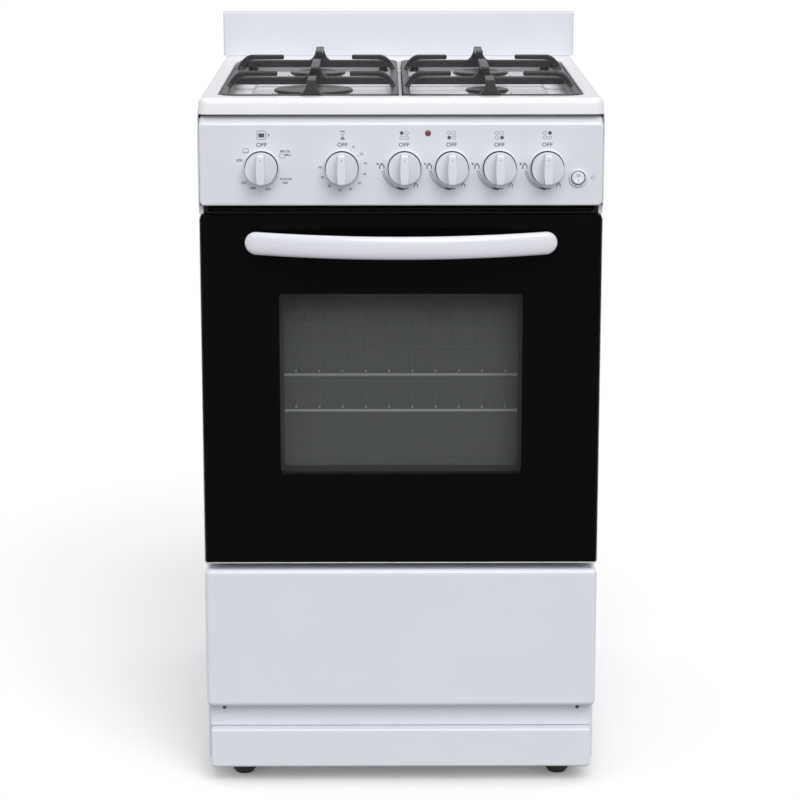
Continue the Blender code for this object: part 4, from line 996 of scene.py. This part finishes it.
# ---------------------------------------------------------------- door
def door_glass():
    """Printed pane: a black border round a clear window."""
    low, high = GLASS_LOW, GLASS_HIGH
    window = (INNER_LOW.x + 0.0043, INNER_HIGH.x - 0.0043, INNER_LOW.z + 0.0043, INNER_HIGH.z - 0.0043,
              0.003)

    def border(inset, radius):
        return (low.x + inset, high.x - inset, low.z + inset, high.z - inset, radius)

    rows = [(*window, high.y), (*border(0.0006, 0.0012), high.y), (*border(0.0, 0.0012), high.y - 0.0006),
            (*border(0.0, 0.0012), low.y + 0.0010), (*border(0.0003, 0.0012), low.y + 0.0003),
            (*border(0.0010, 0.0012), low.y), (*window, low.y)]
    shape = pressed(rows, "Y", steps=8)
    for face in shape.faces:
        face.material_index = 1 if len(face.verts) > 4 else 0
    make("door_pane", shape, [GLASS_BLACK, GLASS_CLEAR], "door", ("door_outer_glass",),
         sharp=50)
    low, high = INNER_LOW, INNER_HIGH
    rows = [(low.x + g, high.x - g, low.z + g, high.z - g, 0.008 - g, y) for g, y in
            ((0.0005, low.y), (0.0, low.y + 0.0005), (0.0, high.y - 0.0005), (0.0005, high.y))]
    # the inner pane wears the painted grey haze
    make("inner_pane", pressed(rows, "Y"), GLASS_INNER_PAINTED_LIGHT, "door", ("door_inner_glass",),
         sharp=50)
    rim = 0.0085
    rows = [(low.x + g, high.x - g, low.z + g, high.z - g, 0.009 - g / 2, y) for g, y in
            ((0.0003, low.y - 0.0002), (rim, low.y - 0.0002), (rim, low.y - 0.0012),
             (0.0003, low.y - 0.0012))]
    make("inner_pane_gasket", pressed(rows, "Y", closed=True), GASKET_GREY, "door", sharp=50)
    low, high = GLASS_LOW, GLASS_HIGH
    strip = (low.x, high.x, low.z - 0.0014, low.z - 0.0001)
    shape = block(strip[0], strip[1], low.y + 0.0008, high.y, strip[2], strip[3])
    make("door_bottom_trim", shape, STEEL, "door", bevel=0.0003)


def door_handle():
    """Bowed bar with a rounded section, its ends turned in to stand on the glass."""
    low, high = HANDLE_LOW, HANDLE_HIGH
    half = (high.x - low.x) / 2
    cx, cz = (low.x + high.x) / 2, (low.z + high.z) / 2
    tall = (high.z - low.z) / 2
    thick = 0.0066
    root = high.y
    bow = root - low.y - 2 * thick
    straight = half - tall
    ends = [math.pi / 2 * k / 12 for k in range(1, 13)]
    places = [-straight - tall * math.sin(a) for a in ends[::-1]]
    places += [-straight + 2 * straight * k / 60 for k in range(61)]
    places += [straight + tall * math.sin(a) for a in ends]
    loops = []
    for x in places:
        past = max(0.0, abs(x) - straight) / tall
        shrink = max(math.sqrt(max(0.0, 1 - past * past)), 0.02)
        t = x / half
        y = root - thick - bow * (1 - t * t)
        sag = 0.0022 * (1 - t * t)
        slope = 2 * bow * t / half
        length = math.hypot(1.0, slope)
        nx, ny = -slope / length, 1 / length
        ring = []
        for n in range(36):
            angle = 2 * math.pi * n / 36
            c, s = math.cos(angle), math.sin(angle)
            across = thick * (0.45 + 0.55 * shrink) * math.copysign(abs(c) ** 0.85, c)
            up = tall * shrink * math.copysign(abs(s) ** 0.85, s)
            ring.append((cx + x + nx * across * shrink, min(y + ny * across, root), cz + up - sag))
        loops.append(ring)
    make("door_handle_bow", skin(loops), HANDLE_WHITE, "door", ("door_handle",), sharp=80)


# ---------------------------------------------------------------- oven
def oven():
    """Cavity with soft corners, and the seal round its mouth."""
    low, high = LINER_LOW, LINER_HIGH
    rear = high.y
    frame_low, frame_high = SEAL_LOW, SEAL_HIGH
    grow = 0.012
    x = frame_high.x - grow
    z0, z1 = frame_low.z + grow, frame_high.z - grow

    def cavity(g, y):
        return (-x - g, x + g, z0 - g, z1 + g, 0.018 + g, y)

    flange = (low.x, high.x, low.z, high.z, 0.004)
    soft = 0.006
    rows = [cavity(-soft, rear - SHEET), cavity(-soft * 0.3, rear - SHEET - soft * 0.3),
            cavity(0.0, rear - SHEET - soft),
            cavity(0.0, MOUTH + 0.003), cavity(0.0008, MOUTH + 0.0008), cavity(0.003, MOUTH),
            (*flange, MOUTH),
            (*flange, MOUTH + SHEET), cavity(0.004, MOUTH + SHEET), cavity(SHEET, MOUTH + 0.006),
            cavity(SHEET, rear - soft),
            cavity(-soft + SHEET, rear)]
    shape = pressed(rows, "Y", steps=8)
    opening = block(-0.10, 0.10, MOUTH + 0.08, rear - 0.06, z0 - 0.02, z0 + 0.01)
    make("oven_liner_skin", cut(shape, opening), OVEN, "root", ("oven_liner",), sharp=45)
    y0, y1 = SEAL_LOW.y, SEAL_HIGH.y
    rows = []
    for k in range(9):
        angle = math.pi * k / 8
        rows.append(cavity(0.008 + 0.0042 * math.cos(angle),
                           y1 - (y1 - y0) * (0.35 + 0.65 * math.sin(angle))))
    rows = [cavity(0.0122, y1)] + rows + [cavity(0.0038, y1)]
    make("oven_seal_braid", pressed(rows, "Y", closed=True), GASKET, "root", ("oven_seal",),
         sharp=50)


def racks():
    """Round-wire shelves with a raised stop along the rear."""
    for node, body in (("oven_rack_lower", "rack_lower"), ("oven_rack_upper", "rack_upper")):
        low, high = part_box(node)
        wire = RACK_WIRE
        z = low.z + wire
        left, right = low.x + wire, high.x - wire
        front, rear = low.y + wire, high.y - wire
        bend = RACK_BEND
        ring = []
        for cx, cy, start in ((right - bend, rear - bend, 0), (left + bend, rear - bend, 90),
                              (left + bend, front + bend, 180), (right - bend, front + bend, 270)):
            for k in range(7):
                a = math.radians(start + 15 * k)
                ring.append(Vector((cx + bend * math.cos(a), cy + bend * math.sin(a), z)))
        loops = []
        count = len(ring)
        for k, point in enumerate(ring):
            ahead = (ring[(k + 1) % count] - ring[k - 1]).normalized()
            side = Vector((ahead.y, -ahead.x, 0.0))
            section = []
            for n in range(10):
                turn = 2 * math.pi * n / 10
                section.append(point + side * wire * math.cos(turn) + Vector((0, 0, wire * math.sin(turn))))
            loops.append(section)
        shells = [skin(loops, closed=True)]
        shells.append(tube([(left, (front + rear) / 2, z), (right, (front + rear) / 2, z)], wire * 0.9))
        for k in range(RACK_WIRES):
            x = RACK_PITCH * (k - (RACK_WIRES - 1) / 2)
            top = z + wire * 1.35
            shells.append(tube([(x, front - 0.0038, top + 0.0030), (x, front - 0.0010, top + 0.0022),
                                (x, front + 0.010, top), (x, rear - 0.004, top),
                                (x, rear - 0.0010, top + 0.004), (x, rear - 0.0005, high.z - 0.002)],
                                0.0015, 8))
        shells.append(tube([(left + 0.003, rear - 0.0005, z), (left + 0.003, rear - 0.0005, high.z - 0.006),
                            (left + 0.008, rear - 0.0005, high.z - 0.0018),
                            (right - 0.008, rear - 0.0005, high.z - 0.0018),
                            (right - 0.003, rear - 0.0005, high.z - 0.006),
                            (right - 0.003, rear - 0.0005, z)], 0.0018))
        shape = merged(*shells)
        # painted highlight on the front bar and wire ends, painted shade on the wires behind
        for face in shape.faces:
            face.material_index = 0 if face.calc_center_median().y < front + 0.004 else 1
        make(node + "_wire", shape, [RACK_PAINTED_HIGHLIGHT, RACK_PAINTED_SHADE], body, (node,), sharp=60)


# ---------------------------------------------------------------- hob
def hob():
    """Pressed hob: a rolled rim round a well with a raised middle."""
    low, high = HOB_LOW, HOB_HIGH
    grate_left, grate_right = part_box("grate_left"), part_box("grate_right")
    margin = 0.003
    wx0, wx1 = grate_left[0].x - margin, grate_right[1].x + margin
    wy0, wy1 = grate_left[0].y - margin, grate_left[1].y + margin
    z_well = Z_RIM - WELL_DEPTH
    radius = 0.026

    def outer(inset, z):
        return (low.x + inset, high.x - inset, low.y + inset, high.y - inset, 0.013 - inset, z)

    def well(inset, z):
        return (wx0 + inset, wx1 - inset, wy0 + inset, wy1 - inset, radius - inset * 0.5, z)

    edge, lean = 0.006, 0.0022
    rows = [well(0.0050, z_well - 0.0003)]
    rows += [well(0.0035 * s, z_well + 0.0035 * c - 0.0002) for s, c in quarter(4)]
    rows += [well(-0.0028 * c, Z_RIM - 0.0028 * s) for s, c in quarter(4)]
    rows += [outer(lean + edge * s, Z_RIM - edge * c) for s, c in quarter(6)]
    rows += [outer(0.0, low.z + 0.0012), outer(0.0005, low.z), outer(SHEET, low.z),
             outer(SHEET, Z_RIM - edge),
             outer(edge, Z_RIM - SHEET), well(-0.0030, Z_RIM - SHEET), well(-SHEET, Z_RIM - 0.004),
             well(-SHEET, z_well + 0.002), well(0.0045, z_well - 0.0012)]
    rim = pressed(rows, "Z", closed=True, steps=12)

    def smooth(t):
        t = max(0.0, min(1.0, t))
        return t * t * (3 - 2 * t)

    def inside(x, y, inset, corner):
        """Distance into a rounded rectangle set in from the well."""
        cx, cy = (wx0 + wx1) / 2, (wy0 + wy1) / 2
        dx = abs(x - cx) - ((wx1 - wx0) / 2 - inset - corner)
        dy = abs(y - cy) - ((wy1 - wy0) / 2 - inset - corner)
        return -(math.hypot(max(dx, 0), max(dy, 0)) + min(max(dx, dy), 0.0) - corner)

    def plate(x, y, cx, cy):
        """Distance into the eight-sided pressing round a front burner."""
        dx, dy = abs(x - cx), y - cy
        ahead = math.hypot(dx, dy) - 0.050
        behind = max(dx + (dy - 0.012) * 0.55 - 0.050, dy - 0.044, dx - 0.050)
        return -(ahead if dy < -0.004 else behind)

    burners = {name: (middle("burner_cap_" + name),
                      (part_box("burner_cap_" + name)[1].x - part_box("burner_cap_" + name)[0].x) / 2)
               for name in BURNER_NAMES}

    def height(x, y):
        z = z_well + PLATEAU_RISE * smooth(inside(x, y, 0.034, 0.030) / 0.007 + 0.1)
        for name in ("front_left", "front_right"):
            centre = burners[name][0]
            shift = -math.copysign(0.006, centre.x)
            d = plate(x, y, centre.x + shift, centre.y)
            z += 0.0007 * (smooth(d / 0.003 + 0.5) - smooth((d - 0.006) / 0.004 + 0.5) * 0.35)
        return z

    step = 0.0026
    nx = int((wx1 - wx0 - 0.002) / step)
    ny = int((wy1 - wy0 - 0.002) / step)
    floor = bmesh.new()
    grid = [[None] * (ny + 1) for _ in range(nx + 1)]
    holes = [(c.x, c.y, r * 0.7 + 0.001) for c, r in burners.values()]

    def kept(x, y):
        return all(math.hypot(x - hx, y - hy) > hr for hx, hy, hr in holes)

    for i in range(nx + 1):
        for j in range(ny + 1):
            x = wx0 + 0.001 + (wx1 - wx0 - 0.002) * i / nx
            y = wy0 + 0.001 + (wy1 - wy0 - 0.002) * j / ny
            if inside(x, y, 0.001, radius) < -0.004 or not kept(x, y):
                continue
            grid[i][j] = floor.verts.new((x, y, height(x, y)))
    for i in range(nx):
        for j in range(ny):
            corners = (grid[i][j], grid[i + 1][j], grid[i + 1][j + 1], grid[i][j + 1])
            if all(corners):
                floor.faces.new(corners)
    sheet = as_object("hob_floor", floor)
    add_modifier(sheet, "SOLIDIFY", thickness=SHEET, offset=-1.0)
    applied(sheet)
    floor = bmesh.new()
    floor.from_mesh(sheet.data)
    bpy.data.objects.remove(sheet)
    make("hob_pressing", merged(rim, floor), HOB_ENAMEL_PAINTED_LIGHT, "root", ("hob_top",), sharp=50)


def burner_parts():
    """Turned caps, slotted crowns and spark electrodes."""
    for name in BURNER_NAMES:
        node = "burner_cap_" + name
        low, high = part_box(node)
        centre = (low + high) / 2
        radius = (high.x - low.x) / 2
        base = low.z + 0.0035
        top = high.z
        rise = top - base
        profile = [(0.0, low.z), (0.0045, low.z), (0.0050, low.z + 0.0005), (0.0050, base),
                   (radius - 0.0012, base),
                   (radius - 0.0003, base + rise * 0.18), (radius, base + rise * 0.42),
                   (radius - 0.0004, base + rise * 0.70), (radius - 0.0016, base + rise * 0.90),
                   (radius - 0.0035, top - 0.0002), (radius * 0.80, top), (radius * 0.70, top - 0.0001),
                   (radius * 0.655, top - 0.0006), (radius * 0.62, top - 0.0011),
                   (radius * 0.56, top - 0.0013),
                   (radius * 0.30, top - 0.0011), (0.0, top - 0.0010)]
        make(node + "_turned", turned(profile, (centre.x, centre.y), "Z", 96), CAP, "cap_" + name, (node,),
             sharp=60)
        crown = "burner_crown_" + name
        low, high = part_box(crown)
        deck = high.z - 0.005
        neck = radius * 0.7
        foot = [(neck, low.z), (neck, deck), (radius * 0.93, deck), (radius * 0.965, deck + 0.0004),
                (radius * 0.975, deck + 0.0012), (radius * 0.95, deck + 0.0019),
                (radius * 0.80, deck + 0.0019),
                (radius * 0.80, deck + 0.0012), (neck - 0.002, deck + 0.0010), (neck - 0.002, low.z)]
        base_ring = turned(foot, (centre.x, centre.y), "Z", 96, closed=True)
        count = max(18, int(2 * math.pi * radius * 0.9 / 0.0052))
        per = 8
        loops = []
        for z in (deck + 0.0015, high.z - 0.0004, high.z):
            ring = []
            for k in range(count * per):
                slot = k % per
                deep = slot in (3, 4)
                shrink = 0.0006 if z == high.z else 0.0
                reach = radius * 0.90 - (0.0040 if deep else 0.0) - shrink
                shift = SLOT_SHIFT.get(slot, 0)
                angle = 2 * math.pi * (k + shift) / (count * per)
                ring.append((centre.x + reach * math.cos(angle), centre.y + reach * math.sin(angle), z))
            loops.append(ring)
        inner = []
        for z in (high.z, deck + 0.0015):
            inner.append([(centre.x + radius * 0.55 * math.cos(2 * math.pi * k / (count * per)),
                           centre.y + radius * 0.55 * math.sin(2 * math.pi * k / (count * per)), z)
                          for k in range(count * per)])
        teeth = skin(loops + inner, closed=True)
        make(crown + "_slotted", merged(base_ring, teeth), ALLOY, "root", (crown,),
             sharp=40)
        angle = math.radians(200 if "left" in name else -20)
        px = centre.x + (radius + 0.0045) * math.cos(angle)
        py = centre.y + (radius + 0.0045) * math.sin(angle)
        pin = turned([(0.0, deck - 0.004), (0.0024, deck - 0.004), (0.0024, deck + 0.0022),
                      (0.0020, deck + 0.0028),
                      (0.0, deck + 0.0028)], (px, py), "Z", 20)
        tip = turned([(0.0, deck + 0.001), (0.0007, deck + 0.001), (0.0007, deck + 0.0052),
                      (0.0004, deck + 0.0058),
                      (0.0, deck + 0.0058)], (px, py), "Z", 12)
        make("electrode_" + name, merged(paint(pin, 0), paint(tip, 1)), [CERAMIC, STEEL], "root", sharp=45)


def grates():
    """Cast pan supports, softened the way a casting leaves its mould."""
    for label in ("left", "right"):
        node = "grate_" + label
        low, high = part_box(node)
        x0, x1, y0, y1 = low.x, high.x, low.y, high.y
        z0 = Z_RIM - WELL_DEPTH + 0.0075
        z1 = z0 + 0.0102
        top = high.z
        bar, radius = GRATE_BAR, GRATE_CORNER
        inner = (x0 + bar, x1 - bar, y0 + bar, y1 - bar, radius - bar)
        draft = (x0 + 0.0008, x1 - 0.0008, y0 + 0.0008, y1 - 0.0008, radius)
        outer = (x0, x1, y0, y1, radius)
        shells = [pressed([(*outer, z0), (*draft, z1), (*inner, z1), (*inner, z0)], "Z", closed=True,
                          steps=10)]
        caps = {name: middle("burner_cap_" + name) for name in BURNER_NAMES if name.endswith(label)}
        front, rear = caps["front_" + label], caps["rear_" + label]
        mid = (front.y + rear.y) / 2
        shells.append(block(x0 + bar / 2, x1 - bar / 2, mid - bar / 2, mid + bar / 2, z0, z1))
        width, thick = 0.011, 0.0065
        half = width / 2
        arch = 0.023
        for centre in (front, rear):
            for x_bar, toward in ((x0 + 0.001, 1), (x1 - 0.001, -1)):
                tip = centre.x - toward * 0.046
                upper, lower = [], []
                for k in range(13):
                    a = math.pi / 2 * k / 12
                    rise, along = math.sin(a), (1 - math.cos(a)) ** 0.75
                    upper.append((x_bar + toward * arch * along, z0 + 0.001 + (top - z0 - 0.001) * rise))
                    lower.append((x_bar + toward * (thick + (arch - thick / 2) * along),
                                  z0 + 0.001 + (top - thick - z0 - 0.001) * rise))
                nose = [(tip + toward * (-0.0012), top), (tip, top - 0.0014), (tip, top - thick + 0.0012),
                        (tip - toward * 0.0010, top - thick + 0.0003)]
                shells.append(prism(upper + nose + lower[::-1], centre.y - half * 0.8,
                                    centre.y + half * 0.8, "Y"))
            is_front = centre is front
            y_low = (y0 if is_front else mid - bar / 2) + 0.0005
            y_high = (mid + bar / 2 if is_front else y1) - 0.0005
            right = []
            for k in range(13):
                a = math.pi / 2 * k / 12
                right.append((half * 0.98 + 0.013 * (1 - math.sin(a)),
                              z1 - 0.001 + (top - z1 + 0.001) * (1 - math.cos(a))))
            horn = [(centre.x + w, z) for w, z in right] + [(centre.x - w, z) for w, z in right[::-1]]
            bars = ((y_low, y_low + bar - 0.001, centre.y - 0.055),
                    (y_high - bar + 0.001, y_high, centre.y + 0.055))
            for start, end, tip in bars:
                a, b = sorted(((start + end) / 2, tip))
                profile = [(a, top - thick), (b, top - thick), (b, top - 0.0012),
                           (b - 0.0010, top - 0.0004),
                           (a + 0.0010, top - 0.0004), (a, top - 0.0012)]
                shells.append(prism(profile, centre.x - half * 0.92, centre.x + half * 0.92, "X"))
            for start, end, tip in (bars if is_front else bars[1:]):
                shells.append(prism(horn, start, end, "Y"))
        for x in (x0 + radius, x1 - radius):
            for y in (y0 + bar / 2, y1 - bar / 2):
                shells.append(turned([(0.0, z0 - 0.0040), (bar * 0.40, z0 - 0.0040),
                                      (bar * 0.46, z0 + 0.002), (0.0, z0 + 0.002)],
                                     (x, y), "Z", 20))
        casting = as_object(node + "_casting", merged(*shells), [IRON])
        add_modifier(casting, "REMESH", mode="VOXEL", voxel_size=VOXEL, use_smooth_shade=True)
        add_modifier(casting, "SMOOTH", factor=0.5, iterations=3)
        applied(casting)
        casting.data.materials.clear()
        casting.data.materials.append(IRON)
        casting.data.shade_smooth()
        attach(casting, node)
        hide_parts(node)
        pads = []
        for x in (x0 + radius, x1 - radius):
            for y in (y0 + bar / 2, y1 - bar / 2):
                pads.append(turned([(0.0, low.z), (0.0052, low.z), (0.0058, low.z + 0.0008),
                                    (0.0058, z0 - 0.0030),
                                    (0.0050, z0 - 0.0020), (0.0, z0 - 0.0020)], (x, y), "Z", 24))
        make(node + "_pads", merged(*pads), RUBBER, node, sharp=45)


set_stage()
body_panels()
vent()
door_shell()
screws()
feet()
control_panel()
knobs()
switch_and_lamp()
printed_marks()
door_glass()
door_handle()
oven()
racks()
hob()
burner_parts()
grates()
